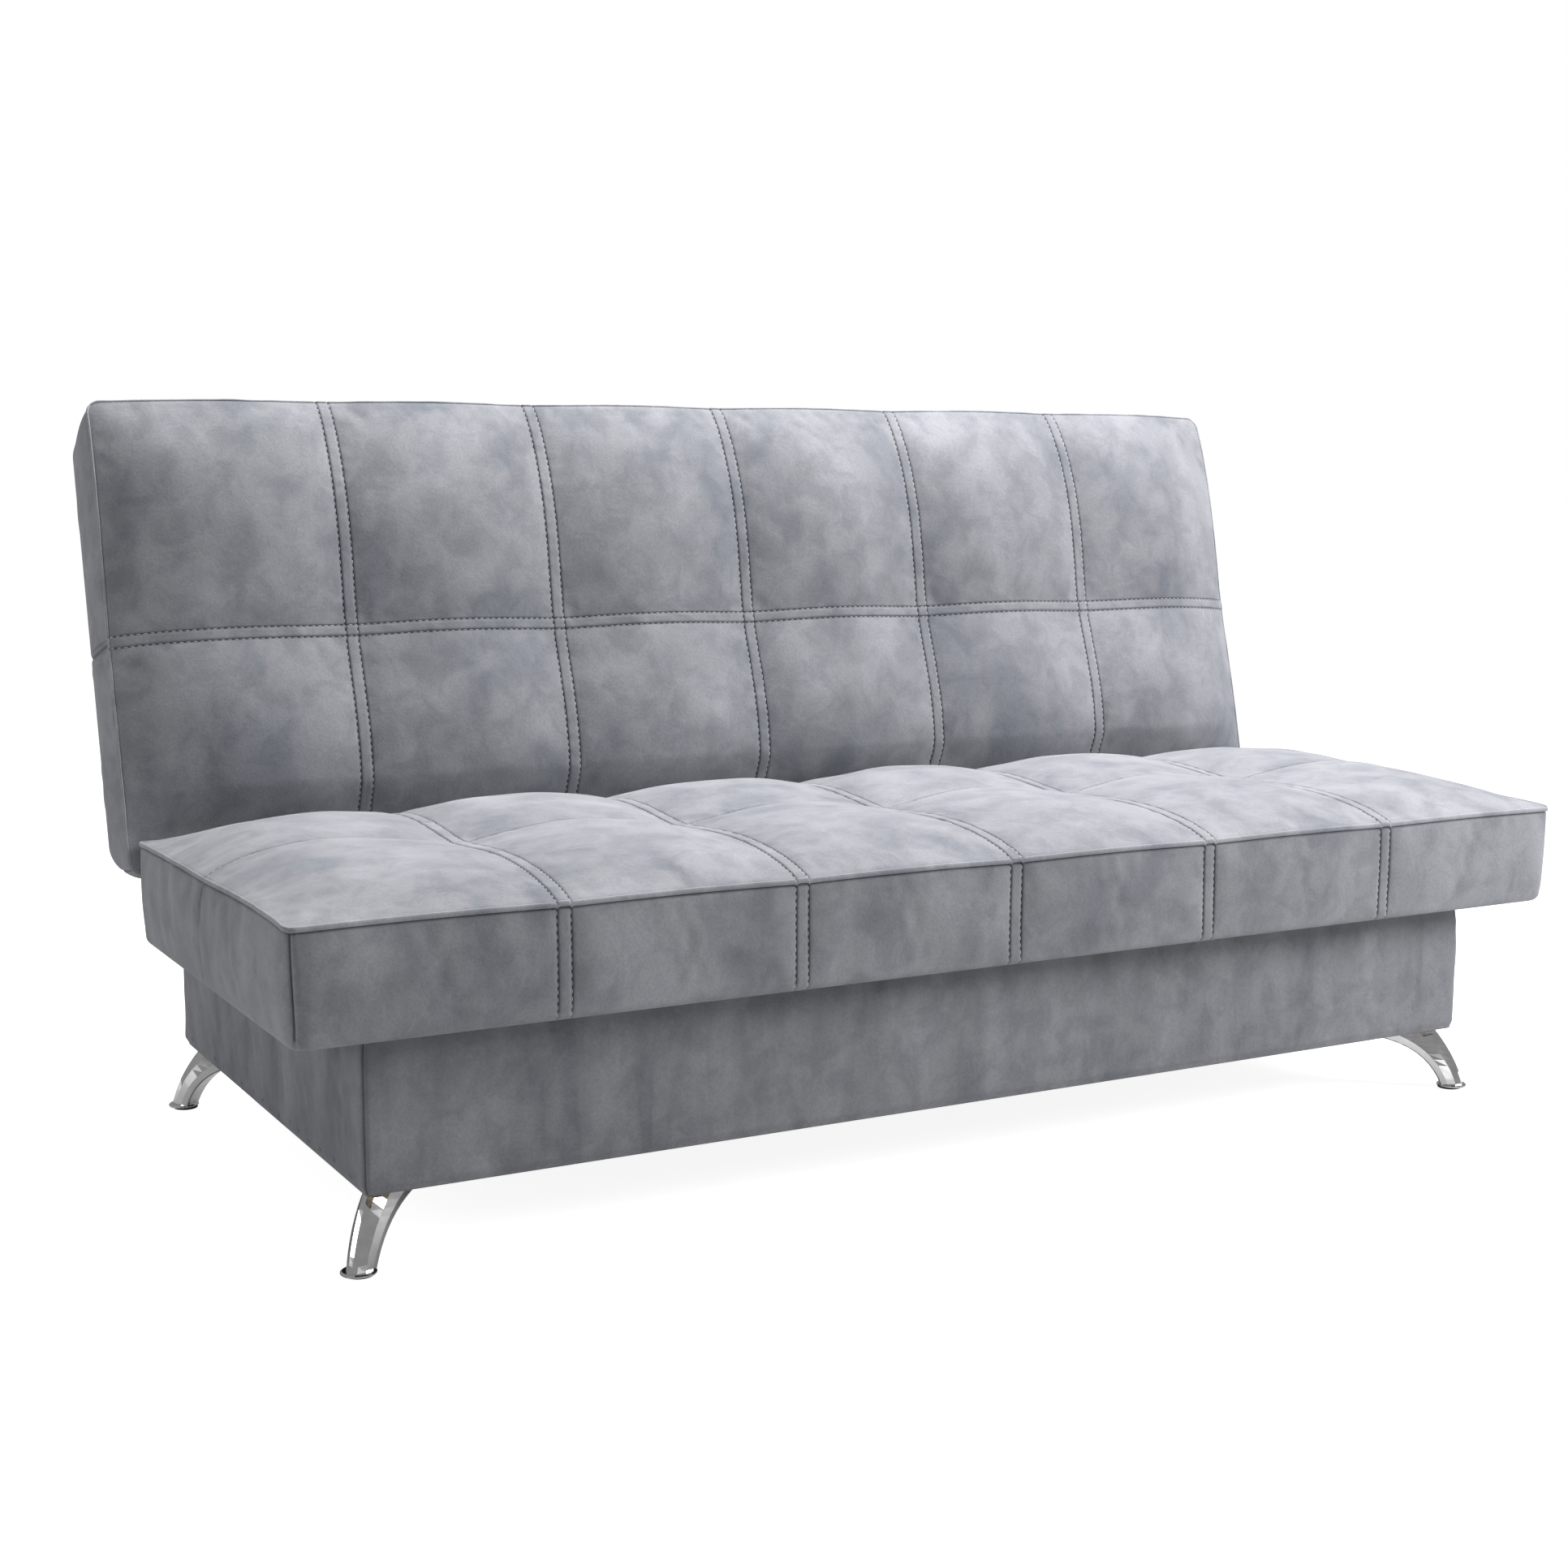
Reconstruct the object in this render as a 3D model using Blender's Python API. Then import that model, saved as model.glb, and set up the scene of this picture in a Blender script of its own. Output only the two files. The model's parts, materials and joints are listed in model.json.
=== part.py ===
"""Click-clack sofa bed with a bedding box on four curved legs.

Metres, +Z up, +X along the width, +Y to the rear, the origin on the floor under the middle.
The seat and the back turn about one hinge line. A pair of rocker links in each end of the box
carries that line forward as the back goes down, so that the flat bed lies centred on the box.
"""

import math

import bmesh
import bpy
from mathutils import Vector

GAP = 0.0003                    # between touching pieces

# Bedding box
BOX_HALF_WIDTH = 0.8450
BOX_FRONT_Y = -0.4185
BOX_REAR_Y = 0.3965
BOX_LOW_Z = 0.0940
BOX_HIGH_Z = 0.2830
BOARD = 0.0160
COVER = 0.0025                  # fabric with its thin padding
BOX_PANEL = 0.0060
BEARER_HEIGHT = 0.0600
BLOCK = 0.0450
BLOCK_HIGH_Z = 0.2000
REST_PAD = (0.0600, 0.0140, 0.0052)

# Legs, drawn in the upright plane through each corner's diagonal
FOOT_X = 0.8520
FOOT_FRONT_Y = -0.4105
FOOT_REAR_Y = 0.3925
GLIDE_RADIUS = 0.0170
GLIDE_HEIGHT = 0.0027
FLANGE_RADIUS = 0.0215
FLANGE_HEIGHT = 0.0040
LEG_PLATE_RADIUS = 0.0320
LEG_PLATE_REACH = 0.0620
LEG_PLATE_HEIGHT = 0.0030

# Hinge line of the seat and the back
HINGE_Y = 0.2320
HINGE_Z = 0.4120
RECLINE = math.radians(76.0)    # the back at rest, counted up from the flat bed
FACE_Z = 0.0180                 # top faces of the flat bed above the hinge line

# Cushions, in the flat bed's frame: y from the hinge line, z from the hinge line
SEAT_HALF_WIDTH = 0.9500
SEAT_FRONT = -0.7245
SEAT_REAR = -0.0395
SEAT_LOW = -0.1220
BACK_HALF_WIDTH = 0.9590
BACK_NEAR = -0.0345
BACK_FAR = 0.6180
BACK_LOW = -0.1170
CORNER_RADIUS = 0.0180
SEAT_CROWN = 0.0450
BACK_CROWN = 0.0600
CROWN_INSETS = (0.0500, 0.1000, 0.1600, 0.2400)
EDGE_RADIUS = 0.0100
LIP = 0.0300                    # cover folded under and stapled
CLOTH_INSET = 0.0330            # lining under the seat, cloth behind the back
CLOTH = 0.0020
BACK_FLAT_ZONE = 0.0450         # lower strip of the back's face without a crown
RAIL = 0.0250
RAIL_INSET = 0.0120
RAIL_LIFT = 0.0030
DECK = 0.0045
SEAT_FRAME_INSET = 0.0090       # rear rail from the rear edge of the seat
BACK_FRAME_INSET = 0.0680       # bottom rail from the lower edge of the back
BACK_FRAME_SIDE = 0.0300        # further in than the seat's frame, clear of the rounded rear edge
NOTCH_REACH = (-0.0150, 0.0100) # notch in the seat's cover for its arms, from the rear edge
SLOT_NEAR_EYE = 0.0145          # slot in the back's cushion for the arms, from the hinge line
SLOT_NEAR_REAR = 0.0280
FLANGE = 0.0050

# Rocker linkage
LINK_LENGTH = 0.1450
LINK_LEAN = math.radians(38.0)  # backwards at rest, as far forwards on the flat bed
FRONT_PIVOT_Y = -0.0725
REAR_PIVOT_Y = 0.1075
PIVOT_Z = 0.1250
LINK_EYE = 0.0130
ARM_EYE = 0.0115
PIN_RADIUS = 0.0050
HOLE_RADIUS = 0.0056
HEAD_RADIUS = 0.0090
SYNC_TUBE_Y = 0.2475
SYNC_TUBE_Z = 0.2620
SYNC_TUBE_RADIUS = 0.0125

# The mechanism's layers, as distances from the middle of the sofa
BASE_PLATE_X = (0.8219, 0.8259)
LINK_X = (0.8149, 0.8199)
CARRIER_X = (0.8079, 0.8129)
SEAT_ARM_X = (0.8009, 0.8059)
BACK_ARM_X = (0.8149, 0.8199)
SLOT_X = (0.7930, 0.8260)
NOTCH_X = (0.7979, 0.8089)

SIDES = (("left", -1), ("right", 1))

MATERIALS = {
    "velour": ((0.33, 0.33, 0.35), 0.85, 0.0),
    "foam": ((0.90, 0.86, 0.66), 0.90, 0.0),
    "board": ((0.62, 0.47, 0.30), 0.70, 0.0),
    "black_cloth": ((0.03, 0.03, 0.03), 0.90, 0.0),
    "chrome": ((0.80, 0.80, 0.82), 0.08, 1.0),
    "steel": ((0.10, 0.10, 0.11), 0.45, 1.0),
    "zinc": ((0.62, 0.62, 0.60), 0.35, 1.0),
    "rubber": ((0.02, 0.02, 0.02), 0.80, 0.0),
}


# ---------------------------------------------------------------- scene helpers

def clear_scene():
    for obj in list(bpy.data.objects):
        bpy.data.objects.remove(obj, do_unlink=True)


def material(slot):
    found = bpy.data.materials.get(slot)
    if found:
        return found
    colour, roughness, metallic = MATERIALS[slot]
    made = bpy.data.materials.new(slot)
    made.use_nodes = True
    shader = made.node_tree.nodes["Principled BSDF"]
    shader.inputs["Base Color"].default_value = (*colour, 1.0)
    shader.inputs["Roughness"].default_value = roughness
    shader.inputs["Metallic"].default_value = metallic
    return made


def add_object(name, mesh, slot, parent=None, location=(0, 0, 0), turn=0.0):
    """A named piece; turn is about the upright axis."""
    obj = bpy.data.objects.new(name, mesh)
    bpy.context.scene.collection.objects.link(obj)
    obj.location = location
    obj.rotation_euler.z = turn
    obj.parent = parent
    if not mesh.materials:
        mesh.materials.append(material(slot))
    return obj


def add_axis(name, location, tilt=0.0):
    """An empty on a joint's axis; tilt turns it about X."""
    axis = bpy.data.objects.new(name, None)
    bpy.context.scene.collection.objects.link(axis)
    axis.location = location
    axis.rotation_euler.x = tilt
    return axis


def bevel(obj, width, segments=2):
    modifier = obj.modifiers.new("Rounded edges", "BEVEL")
    modifier.width = width
    modifier.segments = segments


def cut(obj, cutter):
    """Takes the cutter's shape out of the piece."""
    cutter.hide_render = True
    cutter.display_type = "WIRE"
    modifier = obj.modifiers.new("Cut", "BOOLEAN")
    modifier.operation = "DIFFERENCE"
    modifier.object = cutter


def shade_round(mesh):
    mesh.shade_smooth()
    mesh.set_sharp_from_angle(angle=math.radians(35))


# ---------------------------------------------------------------- mesh helpers

def mesh_of(name, points, faces):
    mesh = bpy.data.meshes.new(name)
    mesh.from_pydata([tuple(p) for p in points], [], faces)
    shape = bmesh.new()
    shape.from_mesh(mesh)
    bmesh.ops.recalc_face_normals(shape, faces=shape.faces)
    shape.to_mesh(mesh)
    shape.free()
    return mesh


def box_mesh(name, low, high):
    shape = bmesh.new()
    bmesh.ops.create_cube(shape, size=1.0)
    for vert in shape.verts:
        for axis in range(3):
            middle = (low[axis] + high[axis]) / 2
            vert.co[axis] = middle + vert.co[axis] * (high[axis] - low[axis])
    mesh = bpy.data.meshes.new(name)
    shape.to_mesh(mesh)
    shape.free()
    return mesh


def lathe_mesh(name, profile, segments=24):
    """A turned solid about local Z from (radius, z) points, lowest first, closed at both ends."""
    points = []
    for radius, z in profile:
        for step in range(segments):
            angle = 2 * math.pi * step / segments
            points.append((radius * math.cos(angle), radius * math.sin(angle), z))
    faces = [tuple(range(segments))[::-1]]
    for ring in range(len(profile) - 1):
        for step in range(segments):
            after = (step + 1) % segments
            low, high = ring * segments, (ring + 1) * segments
            faces.append((low + step, low + after, high + after, high + step))
    top = (len(profile) - 1) * segments
    faces.append(tuple(top + step for step in range(segments)))
    mesh = mesh_of(name, points, faces)
    shade_round(mesh)
    return mesh


def pin_mesh(name, head_low, head_high, end):
    """A pin along X about the local origin: its head's range and its shank's end."""
    mesh = lathe_mesh(name, [
        (HEAD_RADIUS, head_low),
        (HEAD_RADIUS, head_high),
        (PIN_RADIUS, head_high),
        (PIN_RADIUS, end),
    ], segments=20)
    for vert in mesh.vertices:
        x, y, z = vert.co
        vert.co = (z, y, -x)
    return mesh


def arc(centre, radius, start, end, steps):
    """Points round a centre, angles in degrees."""
    found = []
    for step in range(steps + 1):
        angle = math.radians(start + (end - start) * step / steps)
        found.append(
            (centre[0] + radius * math.cos(angle), centre[1] + radius * math.sin(angle))
        )
    return found


def plate_mesh(name, outline, holes, x_range):
    """A plate in the YZ plane: an outline of (y, z) points, round holes, and its X range."""
    curve = bpy.data.curves.new(name, "CURVE")
    curve.dimensions = "2D"
    curve.fill_mode = "BOTH"
    curve.extrude = abs(x_range[1] - x_range[0]) / 2
    loops = [outline] + [arc(centre, HOLE_RADIUS, 0, 342, 19) for centre in holes]
    for loop in loops:
        spline = curve.splines.new("POLY")
        spline.points.add(len(loop) - 1)
        for point, (y, z) in zip(spline.points, loop):
            point.co = (y, z, 0.0, 1.0)
        spline.use_cyclic_u = True
    blank = bpy.data.objects.new(name + "_blank", curve)
    bpy.context.scene.collection.objects.link(blank)
    mesh = evaluated_mesh(name, blank)
    bpy.data.objects.remove(blank, do_unlink=True)
    shape = bmesh.new()
    shape.from_mesh(mesh)
    bmesh.ops.remove_doubles(shape, verts=shape.verts, dist=1e-6)
    middle = (x_range[0] + x_range[1]) / 2
    for vert in shape.verts:
        y, z, x = vert.co
        vert.co = (middle + x, y, z)
    bmesh.ops.recalc_face_normals(shape, faces=shape.faces)
    shape.to_mesh(mesh)
    shape.free()
    return mesh


def evaluated_mesh(name, obj):
    bpy.context.view_layer.update()
    graph = bpy.context.evaluated_depsgraph_get()
    mesh = bpy.data.meshes.new_from_object(obj.evaluated_get(graph))
    mesh.name = name
    return mesh


def union_mesh(name, meshes):
    """One solid from several overlapping ones."""
    parts = []
    for number, mesh in enumerate(meshes):
        part = bpy.data.objects.new(f"{name}_{number}", mesh)
        bpy.context.scene.collection.objects.link(part)
        parts.append(part)
    for part in parts[1:]:
        modifier = parts[0].modifiers.new("Weld", "BOOLEAN")
        modifier.operation = "UNION"
        modifier.object = part
    joined = evaluated_mesh(name, parts[0])
    for part in parts:
        bpy.data.objects.remove(part, do_unlink=True)
    return joined


def mirrored(x_range, side):
    """The X range of a layer on one side of the sofa."""
    return tuple(sorted(side * x for x in x_range))


# ---------------------------------------------------------------- bedding box

def slab(name, low, high, slot, edge=0.0):
    obj = add_object(name, box_mesh(name, low, high), slot)
    if edge:
        bevel(obj, edge)
    return obj


def build_box():
    half = BOX_HALF_WIDTH - COVER - GAP
    front = BOX_FRONT_Y + COVER + GAP
    rear = BOX_REAR_Y - COVER - GAP
    low = BOX_LOW_Z + 0.0005
    high = BOX_HIGH_Z - COVER
    slab("box_front_board", (-half, front, low), (half, front + BOARD, high), "board", 0.001)
    slab("box_rear_board", (-half, rear - BOARD, low), (half, rear, high), "board", 0.001)
    inner_front = front + BOARD + GAP
    inner_rear = rear - BOARD - GAP
    for name, side in SIDES:
        x_low, x_high = mirrored((half - BOARD, half), side)
        slab(
            f"box_{name}_board", (x_low, inner_front, low), (x_high, inner_rear, high),
            "board", 0.001,
        )
    inner_half = half - BOARD - GAP
    panel_high = low + BOX_PANEL
    slab(
        "box_bottom_panel", (-inner_half, inner_front, low),
        (inner_half, inner_rear, panel_high), "board",
    )
    bearer_low = panel_high + GAP
    slab(
        "box_centre_bearer", (-BOARD / 2, inner_front, bearer_low),
        (BOARD / 2, inner_rear, bearer_low + BEARER_HEIGHT), "board", 0.001,
    )
    for side_name, side in SIDES:
        x_low, x_high = mirrored((inner_half - BLOCK, inner_half), side)
        for end_name, y_low in (("front", inner_front), ("rear", inner_rear - BLOCK)):
            slab(
                f"corner_block_{end_name}_{side_name}", (x_low, y_low, bearer_low),
                (x_high, y_low + BLOCK, BLOCK_HIGH_Z), "board", 0.002,
            )
        pad_x = side * 0.60
        pad_y = front + BOARD / 2
        slab(
            f"rest_pad_{side_name}",
            (pad_x - REST_PAD[0] / 2, pad_y - REST_PAD[1] / 2, high + GAP),
            (pad_x + REST_PAD[0] / 2, pad_y + REST_PAD[1] / 2, high + GAP + REST_PAD[2]),
            "rubber", 0.001,
        )


def build_box_covers():
    half = BOX_HALF_WIDTH
    slab(
        "box_front_cover", (-half, BOX_FRONT_Y, BOX_LOW_Z),
        (half, BOX_FRONT_Y + COVER, BOX_HIGH_Z), "velour", 0.0008,
    )
    slab(
        "box_rear_cover", (-half, BOX_REAR_Y - COVER, BOX_LOW_Z),
        (half, BOX_REAR_Y, BOX_HIGH_Z), "velour", 0.0008,
    )
    for name, side in SIDES:
        x_low, x_high = mirrored((half - COVER, half), side)
        slab(
            f"box_{name}_cover", (x_low, BOX_FRONT_Y + COVER + GAP, BOX_LOW_Z),
            (x_high, BOX_REAR_Y - COVER - GAP, BOX_HIGH_Z), "velour", 0.0008,
        )


# ---------------------------------------------------------------- legs

def bezier(points, t):
    """A point of a Bezier curve by repeated halving of its control polygon."""
    row = [Vector(p) for p in points]
    while len(row) > 1:
        row = [a.lerp(b, t) for a, b in zip(row, row[1:])]
    return row[0]


def leg_body_mesh():
    """The curved blade: a ridge outside, two broad faces and a flat inner side."""
    low = GLIDE_HEIGHT + GAP + FLANGE_HEIGHT / 2
    high = BOX_LOW_Z - GAP - LEG_PLATE_HEIGHT / 2
    ridge = [(-0.0200, low), (-0.0080, 0.0500), (0.0270, high - 0.0010)]
    inner = [(0.0120, low), (0.0260, 0.0400), (0.0520, 0.0640), (0.1020, 0.0740)]
    stations = [(bezier(ridge, k / 9), bezier(inner, k / 9)) for k in range(10)]
    stations.append((Vector((0.0278, high)), Vector((0.1035, high))))
    section = [(0.0, 0.0), (0.05, 0.34), (0.30, 0.76), (0.66, 0.98), (0.94, 1.0), (1.0, 0.90)]
    section += [(1.0, 0.0)] + [(a, -b) for a, b in reversed(section[1:])]
    points = []
    for number, (outer, back) in enumerate(stations):
        half = 0.0165 + 0.0070 * number / (len(stations) - 1)
        for along, across in section:
            place = outer.lerp(back, along)
            points.append((place.x, half * across, place.y))
    count = len(section)
    faces = [tuple(range(count))]
    for ring in range(len(stations) - 1):
        for step in range(count):
            after = (step + 1) % count
            low_ring, high_ring = ring * count, (ring + 1) * count
            faces.append(
                (low_ring + step, low_ring + after, high_ring + after, high_ring + step)
            )
    last = (len(stations) - 1) * count
    faces.append(tuple(last + step for step in range(count)))
    return mesh_of("leg_body", points, faces)


def leg_mesh():
    foot = GLIDE_HEIGHT + GAP
    flange = lathe_mesh("leg_flange", [
        (FLANGE_RADIUS - 0.0010, foot),
        (FLANGE_RADIUS, foot + 0.0010),
        (FLANGE_RADIUS, foot + FLANGE_HEIGHT - 0.0015),
        (FLANGE_RADIUS - 0.0020, foot + FLANGE_HEIGHT),
    ])
    top = BOX_LOW_Z - GAP
    plate = lathe_mesh("leg_plate", [
        (LEG_PLATE_RADIUS, top - LEG_PLATE_HEIGHT),
        (LEG_PLATE_RADIUS, top),
    ])
    for vert in plate.vertices:
        vert.co.x += LEG_PLATE_REACH
    for vert in flange.vertices:
        vert.co.x -= 0.0030
    mesh = union_mesh("leg", [leg_body_mesh(), flange, plate])
    shade_round(mesh)
    return mesh


def build_legs():
    """Local X of a leg points inwards, along the diagonal of its corner."""
    leg = leg_mesh()
    glide = lathe_mesh("leg_glide", [
        (GLIDE_RADIUS - 0.0005, 0.0),
        (GLIDE_RADIUS, 0.0005),
        (GLIDE_RADIUS, GLIDE_HEIGHT),
    ])
    for side_name, side in SIDES:
        for end_name, y, inward in (("front", FOOT_FRONT_Y, 1), ("rear", FOOT_REAR_Y, -1)):
            turn = math.atan2(inward, -side)
            place = (side * FOOT_X, y, 0.0)
            add_object(f"leg_{end_name}_{side_name}", leg, "chrome", None, place, turn)
            add_object(f"leg_glide_{end_name}_{side_name}", glide, "rubber", None, place, turn)


# ---------------------------------------------------------------- mechanism

def capsule(start, end, radius):
    """The outline of a link between two eyes."""
    heading = math.degrees(math.atan2(end[1] - start[1], end[0] - start[0]))
    return arc(end, radius, heading - 90, heading + 90, 8) + arc(
        start, radius, heading + 90, heading + 270, 8
    )


def build_base_plates():
    outline = capsule(
        (FRONT_PIVOT_Y - 0.020, PIVOT_Z + 0.012), (REAR_PIVOT_Y + 0.020, PIVOT_Z + 0.012), 0.028
    )
    pivots = [(FRONT_PIVOT_Y, PIVOT_Z), (REAR_PIVOT_Y, PIVOT_Z)]
    for side_name, side in SIDES:
        name = f"base_plate_{side_name}"
        mesh = plate_mesh(name, outline, pivots, mirrored(BASE_PLATE_X, side))
        add_object(name, mesh, "zinc")
        for end_name, (y, z) in zip(("front", "rear"), pivots):
            pin_name = f"base_pin_{end_name}_{side_name}"
            head = LINK_X[0] - 0.0010
            pin = pin_mesh(pin_name, head - 0.0030, head, BASE_PLATE_X[1] - GAP)
            turn = 0.0 if side > 0 else math.pi
            add_object(pin_name, pin, "zinc", None, (0, y, z), turn)


def build_links():
    """Both pairs lean back at rest; each link's parent empty lies on its lower pivot."""
    reach = (LINK_LENGTH * math.sin(LINK_LEAN), LINK_LENGTH * math.cos(LINK_LEAN))
    outline = capsule((0.0, 0.0), reach, LINK_EYE)
    for end_name, y in (("front", FRONT_PIVOT_Y), ("rear", REAR_PIVOT_Y)):
        axis = add_axis(f"{end_name}_link_axis", (0, y, PIVOT_Z))
        for side_name, side in SIDES:
            name = f"{end_name}_link_{side_name}"
            mesh = plate_mesh(name, outline, [(0.0, 0.0), reach], mirrored(LINK_X, side))
            add_object(name, mesh, "zinc", axis)


def build_carriage():
    """Carrier plates with their studs, the tube between them and the hinge bolts."""
    shift = LINK_LENGTH * math.sin(LINK_LEAN)
    stud_z = PIVOT_Z + LINK_LENGTH * math.cos(LINK_LEAN)
    front_stud = (FRONT_PIVOT_Y + shift, stud_z)
    rear_stud = (REAR_PIVOT_Y + shift, stud_z)
    bar = 0.0140
    outline = arc(front_stud, bar, 90, 270, 8)
    outline += [(rear_stud[0] + 0.052, stud_z - bar), (SYNC_TUBE_Y + 0.016, SYNC_TUBE_Z)]
    outline += [(HINGE_Y + 0.0150, HINGE_Z - 0.112)]
    outline += arc((HINGE_Y, HINGE_Z), ARM_EYE, 0, 180, 8)
    outline += [(HINGE_Y - 0.0150, HINGE_Z - 0.112), (HINGE_Y - 0.0240, stud_z + bar)]
    for side_name, side in SIDES:
        name = f"hinge_carrier_{side_name}"
        plate = plate_mesh(name, outline, [(HINGE_Y, HINGE_Z)], mirrored(CARRIER_X, side))
        studs = []
        for y, z in (front_stud, rear_stud):
            stud = lathe_mesh(name + "_stud", [
                (PIN_RADIUS, CARRIER_X[0] + 0.0015),
                (PIN_RADIUS, LINK_X[1] + 0.0030),
            ], segments=20)
            for vert in stud.vertices:
                across, up, along = vert.co
                vert.co = (side * along, y + up, z + across)
            if side > 0:
                stud.flip_normals()
            studs.append(stud)
        add_object(name, union_mesh(name, [plate] + studs), "steel")
        bolt_name = f"hinge_bolt_{side_name}"
        head = SEAT_ARM_X[0] - 0.0006
        bolt = pin_mesh(bolt_name, head - 0.0046, head, BACK_ARM_X[1] + 0.0030)
        turn = 0.0 if side > 0 else math.pi
        add_object(bolt_name, bolt, "zinc", None, (0, HINGE_Y, HINGE_Z), turn)
    tube_half = CARRIER_X[0] - GAP
    tube = lathe_mesh("sync_tube", [
        (SYNC_TUBE_RADIUS, -tube_half),
        (SYNC_TUBE_RADIUS, tube_half),
    ])
    for vert in tube.vertices:
        x, y, z = vert.co
        vert.co = (z, y, -x)
    add_object("sync_tube", tube, "steel", None, (0, SYNC_TUBE_Y, SYNC_TUBE_Z))


# ---------------------------------------------------------------- cushions

def rounded_rectangle(half_width, y_low, y_high, radius):
    corners = (
        ((half_width - radius, y_low + radius), -90),
        ((half_width - radius, y_high - radius), 0),
        ((-half_width + radius, y_high - radius), 90),
        ((-half_width + radius, y_low + radius), 180),
    )
    points = []
    for centre, start in corners:
        points += arc(centre, radius, start, start + 90, 4)
    return points


def cushion_profile(low, crown):
    """(inset, z, how far up the crown) from the lip's inner edge over the side to the middle."""
    edge = EDGE_RADIUS
    profile = [(LIP, low, 0.0)]
    profile += [(edge - y, low + edge - x, 0.0)
                for x, y in arc((0, 0), edge, 0, 90, 3)]
    profile += [(edge - x, FACE_Z - edge + y, 0.0)
                for x, y in arc((0, 0), edge, 0, 90, 3)]
    for inset in CROWN_INSETS:
        share = math.sin(math.pi / 2 * inset / CROWN_INSETS[-1])
        profile.append((inset, FACE_Z + crown * share, share))
    return profile


def offset_profile(profile, distance):
    """The same profile moved inwards, at right angles to itself."""
    moved = []
    last = len(profile) - 1
    for number, (inset, z, share) in enumerate(profile):
        before = profile[max(number - 1, 0)]
        after = profile[min(number + 1, last)]
        along = Vector((after[0] - before[0], after[1] - before[1])).normalized()
        moved.append((inset + along.y * distance, z - along.x * distance, share))
    first = moved[0]
    moved[0] = (profile[0][0], profile[0][1] + distance, first[2])
    end = moved[-1]
    moved[-1] = (profile[-1][0], profile[-1][1] - distance, end[2])
    return moved


def rings_of(profile, shape):
    """Rounded rectangles through a cushion, one for each point of its profile."""
    half_width, y_near, y_far, flat_near = shape
    rings = []
    for inset, z, share in profile:
        near = inset + flat_near * min(1.0, share * 3)
        radius = max(CORNER_RADIUS - inset, 0.0060) + 0.05 * share
        flat = rounded_rectangle(half_width - inset, y_near + near, y_far - inset, radius)
        rings.append([(x, y, z) for x, y in flat])
    return rings


def skin_faces(rings, first, turned):
    """Quads between rings whose points start at a given number."""
    count = len(rings[0])
    faces = []
    for ring in range(len(rings) - 1):
        for step in range(count):
            after = (step + 1) % count
            low, high = first + ring * count, first + (ring + 1) * count
            face = (low + step, low + after, high + after, high + step)
            faces.append(face[::-1] if turned else face)
    return faces


def cover_mesh(name, shape, low, crown):
    """A fitted cover: a shell over the top and the sides, folded under at the bottom."""
    outer_profile = cushion_profile(low, crown)
    outer = rings_of(outer_profile, shape)
    inner = rings_of(offset_profile(outer_profile, COVER), shape)
    count = len(outer[0])
    points = [p for ring in outer + inner for p in ring]
    inside = len(outer) * count
    faces = skin_faces(outer, 0, False) + skin_faces(inner, inside, True)
    top = (len(outer) - 1) * count
    faces.append(tuple(top + step for step in range(count)))
    faces.append(tuple(inside + top + step for step in range(count))[::-1])
    for step in range(count):
        after = (step + 1) % count
        faces.append((inside + step, inside + after, after, step))
    mesh = mesh_of(name, points, faces)
    shade_round(mesh)
    return mesh


def foam_mesh(name, shape, low, crown, foam_low):
    """The filling: the cover's inside, from the deck upwards."""
    inside = offset_profile(cushion_profile(low, crown), COVER + GAP)
    above = [point for point in inside if point[1] > foam_low + 0.002]
    side = above[0][0]
    profile = [(side, foam_low, 0.0)] + above
    rings = rings_of(profile, shape)
    count = len(rings[0])
    points = [p for ring in rings for p in ring]
    faces = skin_faces(rings, 0, False)
    faces.append(tuple(range(count))[::-1])
    top = (len(rings) - 1) * count
    faces.append(tuple(top + step for step in range(count)))
    mesh = mesh_of(name, points, faces)
    shade_round(mesh)
    return mesh


def local_slab(name, low, high, slot, parent, edge=0.0):
    obj = add_object(name, box_mesh(name, low, high), slot, parent)
    if edge:
        bevel(obj, edge)
    return obj


def build_frame(prefix, axis, ends, half_width, y_low, y_high, low):
    """Four rails and the deck on them; ends names the two long rails. Returns the deck's top."""
    half = half_width - RAIL_INSET
    rail_low = low + RAIL_LIFT
    rail_high = rail_low + RAIL
    for name, y in zip(ends, (y_low, y_high - RAIL)):
        local_slab(
            f"{prefix}_{name}_rail", (-half, y, rail_low), (half, y + RAIL, rail_high),
            "steel", axis, 0.002,
        )
    for name, side in SIDES:
        x_low, x_high = mirrored((half - RAIL, half), side)
        local_slab(
            f"{prefix}_{name}_rail", (x_low, y_low + RAIL + GAP, rail_low),
            (x_high, y_high - RAIL - GAP, rail_high), "steel", axis, 0.002,
        )
    deck_low = rail_high + GAP
    local_slab(
        f"{prefix}_deck", (-half, y_low, deck_low), (half, y_high, deck_low + DECK),
        "board", axis,
    )
    return deck_low + DECK


def prism(name, outline, x_range, parent):
    """A cutter with a (y, z) outline."""
    mesh = plate_mesh(name, outline, [], x_range)
    obj = add_object(name, mesh, "velour", parent)
    return obj


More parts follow.
